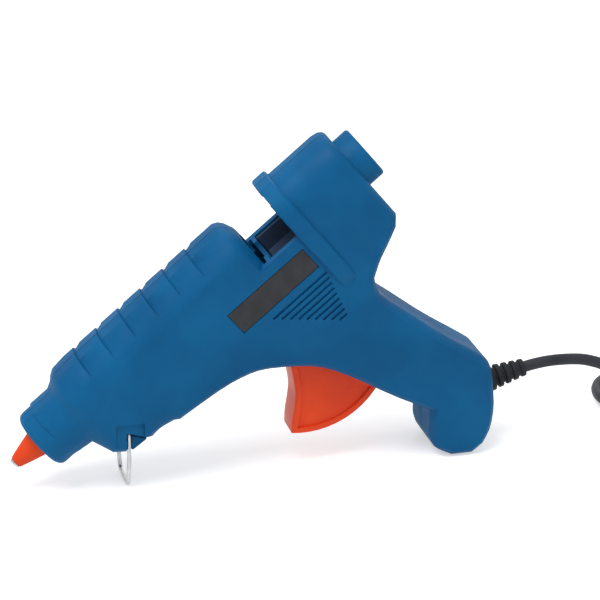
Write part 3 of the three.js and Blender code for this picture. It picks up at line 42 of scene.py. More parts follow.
# Where the gun stands, its barrel pitched by an angle in degrees. Its shapes are worked out in
# millimetres along the barrel: x from the nozzle tip to the stick inlet, y across the two shells,
# z square to the barrel.
gun = {
    "pitch": 39.4,
    "tipAhead": 97.9223,
    "tipHeight": 11.9843,
    "noseFront": 13.5,
    "length": 166.0,
    "drop": 128.318,
}


def onBench(points):
    # turns gun millimetres by the pitch about the tip, moves the tip to its place, gives metres
    turn = math.radians(gun["pitch"])
    x, y, z = np.moveaxis(np.asarray(points, float), -1, 0)
    ahead = x * math.cos(turn) - z * math.sin(turn) - gun["tipAhead"]
    height = x * math.sin(turn) + z * math.cos(turn) + gun["tipHeight"]
    return np.stack([ahead, y, height], -1) / 1000


def place(along, down):
    # a spot on the gun's side plane, as shares of the body's length and depth
    return np.array([gun["noseFront"] + along * gun["length"], down * gun["drop"]])


def places(shares):
    return np.array([place(a, d) for a, d in shares])


def splineThrough(knots, steps):
    # uniform Catmull-Rom curve: each stretch is a cubic, and the slope at a knot is half of the
    # way from the knot before it to the knot after it
    p = np.asarray(knots, float)
    before = np.vstack([p[:1], p[:-2]])
    after = np.vstack([p[2:], p[-1:]])
    a, b = p[:-1], p[1:]
    slopeA, slopeB = (b - before) / 2, (after - a) / 2
    t = np.linspace(0, 1, steps, endpoint=False)[None, :, None]
    a, b, slopeA, slopeB = (v[:, None, :] for v in (a, b, slopeA, slopeB))
    curve = ((2 * t**3 - 3 * t**2 + 1) * a + (t**3 - 2 * t**2 + t) * slopeA
             + (3 * t**2 - 2 * t**3) * b + (t**3 - t**2) * slopeB)
    return np.vstack([curve.reshape(-1, p.shape[1]), p[-1:]])


def evenly(curve, count):
    # the same curve at equal steps of its length
    steps = np.linalg.norm(np.diff(curve, axis=0), axis=1)
    run = np.concatenate([[0], np.cumsum(steps)])
    spots = np.linspace(0, run[-1], count)
    return np.stack([np.interp(spots, run, curve[:, k]) for k in range(curve.shape[1])], -1)


def runLength(curve):
    return float(np.linalg.norm(np.diff(curve, axis=0), axis=1).sum())


def circleSpots(centre, radius, angles):
    return centre + radius * np.stack([np.cos(angles), np.sin(angles)], -1)


def roundedProfile(corners, reach, steps, mostShare=0.48):
    # each corner is replaced by a quadratic curve that starts and ends at a reach from it, or at
    # nearly half of a side that is too short for the reach
    corners = np.asarray(corners, float)
    t = np.linspace(0, 1, steps)[:, None]
    points = [corners[:1]]
    for before, corner, after in zip(corners[:-2], corners[1:-1], corners[2:]):
        back, onward = before - corner, after - corner
        sizes = np.linalg.norm(back), np.linalg.norm(onward)
        cut = min(reach, mostShare * sizes[0], mostShare * sizes[1])
        start, end = corner + back / sizes[0] * cut, corner + onward / sizes[1] * cut
        points.append((1 - t)**2 * start + 2 * t * (1 - t) * corner + t**2 * end)
    points.append(corners[-1:])
    return np.vstack(points)


def ringFaces(rings, sides):
    # quads between neighbouring rings of equal count, kept ring by ring
    index = np.arange(rings * sides).reshape(rings, sides)
    index = np.hstack([index, index[:, :1]])
    quads = [index[:-1, :-1], index[:-1, 1:], index[1:, 1:], index[1:, :-1]]
    return np.stack(quads, -1).reshape(-1, 4)


# in metres: points nearer than the first are merged, edges under the second are dissolved
welds = {
    "merge": 2e-6,
    "dissolve": 1e-6,
}


def meshObject(name, points, faces, finish, body, sharp=40, welded=True):
    # points in metres; doubles are merged, normals made to agree and the sharp edges marked
    points = np.asarray(points, float).reshape(-1, 3).tolist()
    mesh = bpy.data.meshes.new(name)
    mesh.from_pydata(points, [], [list(map(int, face)) for face in faces])
    if welded:
        work = bmesh.new()
        work.from_mesh(mesh)
        bmesh.ops.remove_doubles(work, verts=work.verts, dist=welds["merge"])
        bmesh.ops.dissolve_degenerate(work, edges=work.edges, dist=welds["dissolve"])
        bmesh.ops.recalc_face_normals(work, faces=work.faces)
        work.to_mesh(mesh)
        work.free()
    mesh.shade_smooth()
    mesh.set_sharp_from_angle(angle=math.radians(sharp))
    piece = bpy.data.objects.new(name, mesh)
    bpy.context.scene.collection.objects.link(piece)
    mesh.materials.append(finish)
    if body:
        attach(piece, body)
    return piece


def tubeAlong(path, radius, sides):
    # rings square to a path, each turned from the last by the least turn, closed at both ends;
    # the path doesn't start upright
    heading = np.gradient(path, axis=0)
    heading /= np.linalg.norm(heading, axis=1)[:, None]
    side = np.cross((0, 0, 1), heading[0])
    sideways = np.empty_like(path)
    for i, way in enumerate(heading):
        side = side - way * (side @ way)
        side = side / np.linalg.norm(side)
        sideways[i] = side
    across = np.cross(heading, sideways)
    turn = np.linspace(0, 2 * np.pi, sides, endpoint=False)[None, :, None]
    points = path[:, None] + radius * (sideways[:, None] * np.cos(turn)
                                       + across[:, None] * np.sin(turn))
    count = len(path)
    faces = ringFaces(count, sides).tolist()
    faces.append(list(range(sides)))
    faces.append(list(range((count - 1) * sides, count * sides))[::-1])
    return points.reshape(-1, 3), faces


def turnedOn(profile, sides, origin=(0, 0), tilt=0.0):
    # a profile of places along an axis and radii, carried round that axis, which lies in the
    # side plane
    profile = np.asarray(profile, float)
    turn = np.linspace(0, 2 * np.pi, sides, endpoint=False)[None]
    along = np.repeat(profile[:, :1], sides, 1)
    across = profile[:, 1:] * np.cos(turn)
    height = profile[:, 1:] * np.sin(turn)
    x = origin[0] + along * math.cos(tilt) - height * math.sin(tilt)
    z = origin[1] + along * math.sin(tilt) + height * math.cos(tilt)
    return np.stack([x, across, z], -1).reshape(-1, 3), ringFaces(len(profile), sides)


# Camera: angles in degrees, distances and target in metres, lens in millimetres

view = {
    "azimuth": -15.0,
    "elevation": 22.0,
    "distance": 1.0,
    "lens": 150.0,
    "target": (0.01988, 0.0, 0.06997),
    "clip": (0.05, 20),
}


def makeCamera():
    turn, rise = math.radians(view["azimuth"]), math.radians(view["elevation"])
    back = Vector((math.sin(turn) * math.cos(rise), -math.cos(turn) * math.cos(rise),
                   math.sin(rise)))
    camera = bpy.data.objects.new("camera", bpy.data.cameras.new("camera"))
    bpy.context.scene.collection.objects.link(camera)
    camera.data.lens = view["lens"]
    camera.data.clip_start, camera.data.clip_end = view["clip"]
    camera.location = Vector(view["target"]) + back * view["distance"]
    camera.rotation_mode = "QUATERNION"
    camera.rotation_quaternion = (-back).to_track_quat("-Z", "Y")
    bpy.context.scene.camera = camera


makeCamera()
print("camera made")


# Finishes. Tones are written as a screen shows them. Patch, scuff and grain are the scales of
# three noises: the drift of the tone, the rubbed places and the mould's grain.

finishes = {
    "shellBlue": {
        "deep": (2, 84, 133), "light": (6, 98, 149), "patch": 28, "grain": 2600,
        "grainDepth": 0.16, "dull": 0.66, "shiny": 0.5, "scuff": 60, "specular": 0.14},
    "capRubber": {
        "deep": (220, 58, 12), "light": (232, 70, 20), "patch": 60, "grain": 1800,
        "grainDepth": 0.14, "dull": 0.68, "shiny": 0.52, "scuff": 120, "specular": 0.25},
    "triggerOrange": {
        "deep": (232, 60, 8), "light": (243, 74, 16), "patch": 40, "grain": 2200,
        "grainDepth": 0.12, "dull": 0.5, "shiny": 0.36, "scuff": 90, "specular": 0.3},
    "darkPlastic": {
        "deep": (27, 29, 33), "light": (36, 39, 44), "patch": 50, "grain": 2400,
        "grainDepth": 0.14, "dull": 0.62, "shiny": 0.46, "scuff": 90},
    # the cradle's dark blue-grey is partly its own dark plastic and partly painted shade,
    # darkening the inside of the deep trough
    "cradleGreyAndShade": {
        "deep": (52, 68, 92), "light": (63, 81, 107), "patch": 50, "grain": 2400,
        "grainDepth": 0.14, "dull": 0.66, "shiny": 0.5, "scuff": 90, "specular": 0.3},
    "reliefRubber": {
        "deep": (22, 24, 29), "light": (32, 35, 41), "patch": 90, "grain": 2000,
        "grainDepth": 0.2, "dull": 0.76, "shiny": 0.6, "scuff": 140, "specular": 0.25},
    "sheath": {
        "deep": (33, 34, 42), "light": (44, 46, 54), "patch": 60, "grain": 1500,
        "grainDepth": 0.12, "dull": 0.62, "shiny": 0.48, "scuff": 110, "specular": 0.28},
    "steelWire": {
        "deep": (168, 170, 172), "light": (200, 201, 202), "patch": 160, "grain": 1600,
        "grainDepth": 0.1, "dull": 0.36, "shiny": 0.2, "scuff": 300, "metal": 1.0,
        "stretch": (1, 1, 0.08)},
    "castMetal": {
        "deep": (150, 152, 156), "light": (182, 184, 188), "patch": 120, "grain": 900,
        "grainDepth": 0.4, "dull": 0.55, "shiny": 0.38, "scuff": 160, "metal": 1.0},
    "ceramic": {
        "deep": (206, 202, 190), "light": (224, 221, 210), "patch": 110, "grain": 1400,
        "grainDepth": 0.3, "dull": 0.85, "shiny": 0.7, "scuff": 120},
    "sleeveRubber": {
        "deep": (48, 51, 56), "light": (62, 65, 71), "patch": 70, "grain": 1300,
        "grainDepth": 0.2, "dull": 0.8, "shiny": 0.65, "scuff": 100},
    "plateFoil": {
        "deep": (36, 37, 41), "light": (45, 46, 51), "patch": 180, "grain": 3200,
        "grainDepth": 0.05, "dull": 0.56, "shiny": 0.42, "scuff": 220, "specular": 0.3},
    "redSleeve": {
        "deep": (176, 44, 30), "light": (196, 58, 40), "patch": 90, "grain": 2200,
        "grainDepth": 0.3, "dull": 0.7, "shiny": 0.55, "scuff": 150},
    "whiteSleeve": {
        "deep": (200, 198, 192), "light": (220, 219, 214), "patch": 90, "grain": 2200,
        "grainDepth": 0.3, "dull": 0.7, "shiny": 0.55, "scuff": 150},
}

# what all finishes share; a band is where in a noise the change starts and ends, and the
# grain's height is in metres
surface = {
    "patchDetail": 3,
    "patchBand": (0.36, 0.64),
    "scuffDetail": 5,
    "scuffRoughness": 0.65,
    "scuffBand": (0.3, 0.7),
    "grainDetail": 2,
    "grainHeight": 0.0002,
}


def tone(red, green, blue):
    # from screen values of 0 to 255 to linear ones, by the two stretches of the sRGB curve
    linear = []
    for value in (red, green, blue):
        share = value / 255
        linear.append(share / 12.92 if share <= 0.04045 else ((share + 0.055) / 1.055) ** 2.4)
    return (*linear, 1.0)


def addNoise(tree, source, scale, detail):
    noise = tree.nodes.new("ShaderNodeTexNoise")
    noise.inputs["Scale"].default_value = scale
    noise.inputs["Detail"].default_value = detail
    tree.links.new(source, noise.inputs["Vector"])
    return noise


def makeFinish(name, facts):
    material = bpy.data.materials.new(name)
    material.use_nodes = True
    tree = material.node_tree
    nodes, links = tree.nodes, tree.links
    shader = nodes["Principled BSDF"]
    spot = nodes.new("ShaderNodeTexCoord").outputs["Object"]
    stretched = nodes.new("ShaderNodeMapping")
    stretched.inputs["Scale"].default_value = facts.get("stretch", (1, 1, 1))
    links.new(spot, stretched.inputs["Vector"])
    stretched = stretched.outputs["Vector"]

    # slow drift of the colour, as a moulding cools unevenly
    patches = addNoise(tree, spot, facts["patch"], surface["patchDetail"])
    shades = nodes.new("ShaderNodeValToRGB")
    for stop, position, shade in zip(shades.color_ramp.elements, surface["patchBand"],
                                     (facts["deep"], facts["light"])):
        stop.position = position
        stop.color = tone(*shade)
    links.new(patches.outputs["Fac"], shades.inputs["Fac"])
    links.new(shades.outputs["Color"], shader.inputs["Base Color"])

    # rubbed and dull places
    scuffs = addNoise(tree, stretched, facts["scuff"], surface["scuffDetail"])
    scuffs.inputs["Roughness"].default_value = surface["scuffRoughness"]
    gloss = nodes.new("ShaderNodeMapRange")
    gloss.inputs["From Min"].default_value = surface["scuffBand"][0]
    gloss.inputs["From Max"].default_value = surface["scuffBand"][1]
    gloss.inputs["To Min"].default_value = facts["shiny"]
    gloss.inputs["To Max"].default_value = facts["dull"]
    links.new(scuffs.outputs["Fac"], gloss.inputs["Value"])
    links.new(gloss.outputs["Result"], shader.inputs["Roughness"])

    # the mould's fine grain
    grain = addNoise(tree, stretched, facts["grain"], surface["grainDetail"])
    raised = nodes.new("ShaderNodeBump")
    raised.inputs["Strength"].default_value = facts["grainDepth"]
    raised.inputs["Distance"].default_value = surface["grainHeight"]
    links.new(grain.outputs["Fac"], raised.inputs["Height"])
    links.new(raised.outputs["Normal"], shader.inputs["Normal"])
    shader.inputs["Metallic"].default_value = facts.get("metal", 0.0)
    shader.inputs["Specular IOR Level"].default_value = facts.get("specular", 0.5)
    return material


finish = {name: makeFinish(name, facts) for name, facts in finishes.items()}
print("finishes made")


# The CAD nodes that the scene carries over, by finish

carriedOver = {
    "steelWire": (
        "heater_clamp", "sleeve_band", "stick_gripper", "gripper_pin", "carriage_pin", "link_arm",
        "link_pin", "trigger_pin", "return_spring", "screw_nose", "screw_barrel", "screw_middle",
        "screw_block", "screw_grip", "screw_butt", "clamp_screw_1", "clamp_screw_2", "plug_pin_1",
        "plug_pin_2"),
    "castMetal": ("melt_chamber",),
    "ceramic": ("heater_plate", "front_support", "rear_support", "terminal_block"),
    "sleeveRubber": ("inlet_sleeve",),
    "darkPlastic": ("feed_carriage", "cord_clamp"),
    "plateFoil": ("rating_plate",),
    "sheath": ("cord_tail",),
    "redSleeve": ("lead_live",),
    "whiteSleeve": ("lead_neutral",),
}
for name, nodes in carriedOver.items():
    for node in nodes:
        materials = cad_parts[node].data.materials
        materials.clear()
        materials.append(finish[name])
print("carried nodes painted")


# The lead: one cord from the strain relief down to the bench and through a tied hank to the plug.
# Bench millimetres: x along the gun, y across it, z up. Angles are in degrees.

lead = {
    "diameter": 4.8,
    "reliefEnd": (115.998, 30.009),
    "reliefRise": 13.0,
    "inside": 4.0,
    "free": [
        (121.6, 31), (127, 31.5), (132.6, 31.5), (138.2, 31.1), (142.5, 30.4), (146.7, 29.1),
        (150.8, 27.4), (154.3, 25.2), (157.3, 22.6), (160, 19.6), (162.6, 16.5), (165.6, 13.6),
        (169.1, 11.1), (173, 9.3), (177.2, 8.3), (181.8, 7.9)],
    "hankX": 223.0,
    "run": 72.0,
    "innerFold": 14.5,
    "loopPitch": 6.2,
    "loops": 3,
    "quarterSteps": 6,
    "layerStep": 5.5,
    "waistDraw": 11.5,
    "tieThick": 0.8,
    "seat": 0.3,
    "plugThick": 13.7,
    "plugWidth": 35.3,
    "plugTail": 4.0,
    "plugNest": 6.5,
    "curveSteps": 5,
    "sectionSteps": 5,
    "lengthSteps": 8,
}


def hankRoute():
    # each loop is a near run, a fold, a far run and a fold, a quarter each; the runs draw in at
    # the tied waist; the folds step in by a pitch each loop on the top layer, drop a layer at
    # half way and step out again below
    f = lead
    radius = f["diameter"] / 2
    outer = f["innerFold"] + f["loops"] / 2 * f["loopPitch"]
    top = radius + f["layerStep"]
    plugLine = outer + radius + 2 * f["seat"] + f["plugWidth"] / 2 - f["plugNest"]
    steps = np.arange((4 * f["loops"] - 1) * f["quarterSteps"])
    loops = steps / (4 * f["quarterSteps"])
    quarter = steps // f["quarterSteps"] % 4
    share = steps % f["quarterSteps"] / f["quarterSteps"]
    half = f["loops"] / 2

    def foldAt(turns):
        lower = f["innerFold"] + np.maximum(0, turns - half - 1 / 4) * f["loopPitch"]
        return np.where(turns <= half, outer - turns * f["loopPitch"], lower)

    def eased(t):
        return (1 - np.cos(t * np.pi)) / 2

    fold = foldAt(loops)
    height = top - f["layerStep"] * eased(np.clip((loops - half) * 4, 0, 1))
    way = np.where(quarter < 2, 1, -1)
    onRun = quarter % 2 == 0
    runX = way * (share - 1 / 2) * f["run"]
    waist = (1 + np.cos(2 * np.pi * runX / f["run"])) / 2
    turn = np.where(way > 0, -1 / 2, 1 / 2) * np.pi + share * np.pi
    x = np.where(onRun, runX, way * f["run"] / 2 + fold * np.cos(turn))
    y = np.where(onRun, -way * (fold - f["waistDraw"] * waist), fold * np.sin(turn))
    z = height + np.where(onRun, (f["tieThick"] + f["seat"]) * waist, 0)
    body = np.stack([x, y, z], -1)

    # the last fold swings out to the line of the plug and rises to its middle
    start = float(foldAt(np.array(f["loops"] - 1 / 4)))
    swing = (start + plugLine) / 2
    share = np.linspace(0, 1, 2 * f["quarterSteps"] + 1)
    turn = (1 / 2 + share) * np.pi
    x = swing * np.cos(turn) - f["run"] / 2
    y = start - swing + swing * np.sin(turn)
    z = radius + (f["plugThick"] / 2 - radius) * eased(share)
    last = np.stack([x, y, z], -1)
    first = [[-f["run"] / 2 - f["diameter"], -outer, top]]
    end = [[-f["run"] / 2 + f["plugTail"], -plugLine, f["plugThick"] / 2]]
    return np.vstack([first, body, last, end]) + np.array([f["hankX"], outer, 0])


def makeCord():
    rise = math.radians(lead["reliefRise"])
    mouth = np.array([lead["reliefEnd"][0], 0, lead["reliefEnd"][1]])
    inside = mouth - lead["inside"] * np.array([math.cos(rise), 0, math.sin(rise)])
    free = np.array([(x, 0, z) for x, z in lead["free"]], float)
    route = np.vstack([[inside], [mouth], free, hankRoute()]) / 1000
    shape = bpy.data.curves.new("mains_cord", "CURVE")
    shape.dimensions = "3D"
    shape.resolution_u = lead["curveSteps"]
    shape.bevel_depth = lead["diameter"] / 2 / 1000
    shape.bevel_resolution = lead["sectionSteps"]
    shape.use_fill_caps = True
    line = shape.splines.new("BEZIER")
    line.bezier_points.add(len(route) - 1)
    line.bezier_points.foreach_set("co", route.ravel())
    for point in line.bezier_points:
        point.handle_left_type = point.handle_right_type = "AUTO"
    cord = bpy.data.objects.new("mains_cord", shape)
    bpy.context.scene.collection.objects.link(cord)
    shape.materials.append(finish["sheath"])
    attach(cord, "housing")
    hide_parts("cord", "cord_hank")
    return cord, route[0], runLength(splineThrough(route, lead["lengthSteps"]))


cord, cordExit, cordLength = makeCord()
print("cord made, length", round(cordLength, 3))


# The floor, the lights and the white surroundings, in metres

studio = {
    "floorHalf": 6.0,
    "floorTone": (238, 238, 238),
    "floorRoughness": 0.9,
    "floorSpecular": 0.1,
    "floorGlow": 0.5,
    "ambient": 0.48,
    "background": 1.0,
}
lamps = {
    "key": {"from": (-0.6, -0.4, 1.65), "power": 21.0, "size": 1.1},
    "fill": {"from": (1.3, -1.1, 0.7), "power": 2.0, "size": 1.2},
    "rim": {"from": (0.5, 1.5, 1.2), "power": 3.4, "size": 1.0},
}


def seenDirectly(nodes, links):
    # 1 for what the camera sees straight, in a gloss or through glass, 0 for light that bounces
    path = nodes.new("ShaderNodeLightPath")
    first = nodes.new("ShaderNodeMath")
    first.operation = "ADD"
    second = nodes.new("ShaderNodeMath")
    second.operation = "ADD"
    second.use_clamp = True
    links.new(path.outputs["Is Camera Ray"], first.inputs[0])
    links.new(path.outputs["Is Glossy Ray"], first.inputs[1])
    links.new(first.outputs[0], second.inputs[0])
    links.new(path.outputs["Is Transmission Ray"], second.inputs[1])
    return second.outputs[0]


def makeFloor():
    # the glow shows only where the floor is seen directly, so that it lights nothing
    material = bpy.data.materials.new("bench_top")
    material.use_nodes = True
    nodes, links = material.node_tree.nodes, material.node_tree.links
    shader = nodes["Principled BSDF"]
    shader.inputs["Base Color"].default_value = tone(*studio["floorTone"])
    shader.inputs["Roughness"].default_value = studio["floorRoughness"]
    shader.inputs["Specular IOR Level"].default_value = studio["floorSpecular"]
    shader.inputs["Emission Color"].default_value = (1, 1, 1, 1)
    glow = nodes.new("ShaderNodeMath")
    glow.operation = "MULTIPLY"
    glow.inputs[1].default_value = studio["floorGlow"]
    links.new(seenDirectly(nodes, links), glow.inputs[0])
    links.new(glow.outputs[0], shader.inputs["Emission Strength"])
    half = studio["floorHalf"]
    corners = [(-half, -half, 0), (half, -half, 0), (half, half, 0), (-half, half, 0)]
    floor = meshObject("bench", corners, [(0, 1, 2, 3)], material, None, welded=False)


def makeSurroundings():
    world = bpy.data.worlds.new("surroundings")
    bpy.context.scene.world = world
    world.use_nodes = True
    nodes, links = world.node_tree.nodes, world.node_tree.links
    behind = nodes["Background"]
    behind.inputs["Color"].default_value = (1, 1, 1, 1)
    strength = nodes.new("ShaderNodeMapRange")
    strength.inputs["To Min"].default_value = studio["ambient"]
    strength.inputs["To Max"].default_value = studio["background"]
    links.new(seenDirectly(nodes, links), strength.inputs["Value"])
    links.new(strength.outputs["Result"], behind.inputs["Strength"])


def makeLamp(name, facts):
    lamp = bpy.data.lights.new(name, "AREA")
    lamp.shape = "DISK"
    lamp.energy = facts["power"]
    lamp.size = facts["size"]
    holder = bpy.data.objects.new(name, lamp)
    bpy.context.scene.collection.objects.link(holder)
    holder.location = facts["from"]
    holder.rotation_mode = "QUATERNION"
    beam = Vector(view["target"]) - Vector(facts["from"])
    holder.rotation_quaternion = beam.to_track_quat("-Z", "Y")


makeFloor()
makeSurroundings()
for name, facts in lamps.items():
    makeLamp(name, facts)
bpy.context.scene.view_settings.view_transform = "Standard"
print("floor and lights made")


# Silicone cap about the metal nozzle. Profiles are places along the barrel and radii; the cap's
# mouth and the start of its side are counted from its tip.

cap = {
    "tip": (1.3, 2.7),
    "mouth": [(1.2, -0.35), (0.25, -0.35), (0.0, -0.2), (0.1, -0.04)],
    "sideStart": (0.6, 0.1),
    "sideSteps": 14,
    "bulge": 0.11,
    "front": 13.5,
    "baseRadius": 5.9,
    "seatEnd": 16.3,
    "lipRadius": 8.4,
    "lipEnd": 18.3,
    "lipCorner": 0.3,
    "wall": 1.3,
    "sides": 72,
}
nozzle = {
    "rim": [
        (2.4, 0.0), (2.4, 0.75), (0.25, 0.9), (0.05, 1.05), (0.0, 1.3), (0.0, 1.75), (0.1, 2.05),
        (0.35, 2.28), (0.7, 2.3), (1.0, 2.3), (1.0, 1.15)],
    "capGap": 0.3,
    "flange": [(18.6, 7.5), (18.7, 7.6), (21.5, 7.6), (21.6, 7.5), (21.6, 0.0)],
    "sides": 72,
}


def makeCap():
    # a cone of slightly bulging side, rounded over at its mouth, with a flange behind the
    # housing's front wall
    c = cap
    tip = np.array(c["tip"])
    mouth = tip + np.array(c["mouth"])
    start, end = tip + np.array(c["sideStart"]), np.array([c["front"], c["baseRadius"]])
    share = np.linspace(0, 1, c["sideSteps"])[:, None]
    side = start + share * (end - start) + np.sin(share * np.pi) * np.array([0, c["bulge"]])
    corner, inner = c["lipCorner"], c["baseRadius"] - c["wall"]
    behind = [(c["seatEnd"], c["baseRadius"]), (c["seatEnd"], c["lipRadius"] - corner),
              (c["seatEnd"] + corner, c["lipRadius"]), (c["lipEnd"] - corner, c["lipRadius"]),
              (c["lipEnd"], c["lipRadius"] - corner), (c["lipEnd"], inner), (c["front"], inner)]
    profile = np.vstack([mouth, side, behind, mouth[:1]])
    points, faces = turnedOn(profile, c["sides"])
    piece = meshObject("silicone_cap", onBench(points), faces, finish["capRubber"], "housing",
                       sharp=50)
    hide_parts("nozzle_cap")


def makeNozzle():
    # a turned nozzle: a rounded rim round the hole that the glue leaves by, a cone that widens to
    # the cap's bore, a shank and a flange
    n = nozzle
    shank = cap["baseRadius"] - cap["wall"] - n["capGap"]
    profile = n["rim"] + [(cap["front"], shank), (n["flange"][0][0], shank)] + n["flange"]
    points, faces = turnedOn(profile, n["sides"])
    piece = meshObject("metal_nozzle", onBench(points), faces, finish["steelWire"], "housing",
                       sharp=35)
    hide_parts("nozzle_tip")


makeCap()
makeNozzle()
print("nozzle made")


# Trigger: a hooked lever with a raised flange round a flat web, and a forked arm inside the grip.
# The pairs of the two corners are insets past the flange and heights over the face beside them.

trigger = {
    "pivot": place(0.6145, -0.35),
    "top": (0.5645, -0.362),
    "front": [(0.534, -0.432), (0.5136, -0.464), (0.4756, -0.509)],
    "frontSteps": 14,
    "tip": (0.4533, -0.5415),
    "tipRounding": 2.4,
    "tipSteps": 8,
    "sweep": 68.0,
    "sweepSteps": 60,
    "hub": 5.0,
    "hubSteps": 18,
    "outlineSpots": 320,
    "halfWidth": 7.0,
    "edge": 1.1,
    "edgeSteps": 6,
    "flange": 2.7,
    "flangeCorner": [(-0.35, 0.0), (-0.1, -0.08), (0.0, -0.3)],
    "webHalfWidth": 5.7,
    "webCorner": [(0.12, 0.25), (0.3, 0.04), (0.6, 0.0)],
    "arm": 30.0,
    "armLean": 9.0,
    "armHalfHeight": 3.6,
    "armSteps": 14,
    "armSpots": 120,
    "forkInner": 1.9,
    "forkInnerEdge": 0.4,
    "forkOuter": 4.4,
    "forkOuterEdge": 0.5,
}


def closedRings(outline, steps, spread=1.25):
    # rings that step in from a closed outline by the first figure of each pair, at the height of
    # the second; each is averaged along its length over its inset times the spread to either
    # side, so that no corner folds over itself
    after, before = np.roll(outline, -1, 0), np.roll(outline, 1, 0)
    heading = after - before
    heading /= np.linalg.norm(heading, axis=1)[:, None]
    inward = np.stack([-heading[:, 1], heading[:, 0]], -1)
    spacing = np.linalg.norm(after - outline, axis=1).mean()
    area = (outline[:, 0] * after[:, 1] - after[:, 0] * outline[:, 1]).sum()
    inward = inward * (1 if area > 0 else -1)
    rings = []
    for inset, height in steps:
        flat = outline + inward * inset
        reach = int(round(inset / spacing * spread))
        shifts = range(-reach, reach + 1)
        flat = sum(np.roll(flat, shift, 0) for shift in shifts) / len(shifts)
        rings.append(np.stack([flat[:, 0], np.full(len(flat), height), flat[:, 1]], -1))
    return np.array(rings)


def roundedPlate(outline, steps, mirrored=True):
    # rings over the edge of a plate, closed by a fan on each face; with mirrored the far face
    # repeats the near
    rings = closedRings(outline, steps)
    if mirrored:
        rings = np.concatenate([rings[::-1] * np.array([1, -1, 1]), rings])
    count = len(outline)
    faces = ringFaces(len(rings), count).tolist()
    points = rings.reshape(-1, 3)
    for row in (0, len(rings) - 1):
        spokes = row * count + np.arange(count)
        centre = len(points)
        points = np.vstack([points, points[spokes].mean(0)[None]])
        faces += np.stack([spokes, np.roll(spokes, -1), np.full(count, centre)], -1).tolist()
    return points, faces


def joined(*parts):
    # several point and face lists as one
    points, faces, start = [], [], 0
    for spots, sides in parts:
        points.append(spots)
        faces += [[i + start for i in side] for side in sides]
        start += len(spots)
    return np.vstack(points), faces


def makeBlade():
    # outline: the hooked front, a sweep about the pivot and half of the hub; a rounded tip takes
    # the place of the spots nearest to it
    t = trigger
    pivot = t["pivot"]
    knots = np.vstack([place(*t["top"]), places(t["front"]), place(*t["tip"])])
    front = splineThrough(knots, t["frontSteps"])
    tip = front[-1] - pivot
    start = math.atan2(tip[1], tip[0])
    sweep = np.linspace(start, start + math.radians(t["sweep"]), t["sweepSteps"])
    arc = circleSpots(pivot, np.hypot(*tip), sweep)
    hub = circleSpots(pivot, t["hub"], np.linspace(0, np.pi, t["hubSteps"]))
    corner = roundedProfile([front[-2], front[-1], arc[2]], t["tipRounding"], t["tipSteps"])
    outline = np.vstack([front[:-3], corner, arc[4:], hub])
    outline = evenly(np.vstack([outline, outline[:1]]), t["outlineSpots"] + 1)[:-1]

    # section: a quarter round at the rim, then the flange's step down to the web
    edge, high = t["edge"], t["halfWidth"]
    roll = np.radians(np.linspace(0, 90, t["edgeSteps"]))
    steps = [(edge * (1 - math.cos(a)), high - edge * (1 - math.sin(a))) for a in roll]
    for corner, level in (("flangeCorner", "halfWidth"), ("webCorner", "webHalfWidth")):
        steps += [(t["flange"] + inset, t[level] + rise) for inset, rise in t[corner]]
    return roundedPlate(outline, steps)


def makeFork():
    # two cheeks of one outline: a straight bar from the pivot to the arm's end, round at both
    t = trigger
    lean = math.radians(t["armLean"])
    way = np.array([math.sin(lean), math.cos(lean)])
    across = np.array([-way[1], way[0]])
    end = t["pivot"] + t["arm"] * way
    turn = np.linspace(-np.pi / 2, np.pi / 2, t["armSteps"])[:, None]
    bow = t["armHalfHeight"] * (np.sin(turn) * across + np.cos(turn) * way)
    bar = evenly(np.vstack([end + bow, t["pivot"] - bow, end + bow[:1]]), t["armSpots"] + 1)[:-1]
    low, high = t["forkInner"], t["forkOuter"]
    lowEdge, highEdge = t["forkInnerEdge"], t["forkOuterEdge"]
    steps = [(lowEdge, low), (0.0, low + lowEdge), (0.0, high - highEdge), (highEdge, high)]
    points, faces = roundedPlate(bar, steps, mirrored=False)
    return [(points * np.array([1, side, 1]), faces) for side in (-1, 1)]


def makeTrigger():
    points, faces = joined(makeBlade(), *makeFork())
    piece = meshObject("trigger_lever", onBench(points), faces, finish["triggerOrange"],
                       "trigger", sharp=38)
    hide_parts("trigger")


makeTrigger()
print("trigger made")


# Stand: one bent wire, its ends hooked into the housing

stand = {
    "pivot": place(0.1765, -0.139),
    "wire": 0.85,
    "legSpread": 12.0,
    "footSpread": 8.0,
    "hook": 3.4,
    "bend": 2.6,
    "bendSteps": 12,
    "spots": 150,
    "sides": 24,
}


def makeStand():
    # legs that run down level with the hooks to half way and then in to a straight foot on the
    # bench, with rounded bends; the wire is a radius
    s = stand
    pitch = math.radians(gun["pitch"])
    up = np.array([math.sin(pitch), math.cos(pitch)])
    drop = gun["tipHeight"] + s["pivot"] @ up - s["wire"]
    half = [(s["legSpread"] - s["hook"], 0), (s["legSpread"], 0), (s["legSpread"], drop / 2),
            (s["footSpread"], drop)]
    corners = []
    for y, far in [(-y, far) for y, far in half] + half[::-1]:
        x, z = s["pivot"] - up * far
        corners.append((x, y, z))
    path = evenly(roundedProfile(corners, s["bend"], s["bendSteps"]), s["spots"])
    points, faces = tubeAlong(path, s["wire"], s["sides"])
    piece = meshObject("bent_wire", onBench(points), faces, finish["steelWire"], "stand",
                       sharp=50)
    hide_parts("wire_stand")


makeStand()
print("stand made")


# Strain relief: a ribbed taper about the lead, set in the butt. Radii are named by what they
# bound, and its rise is in degrees.

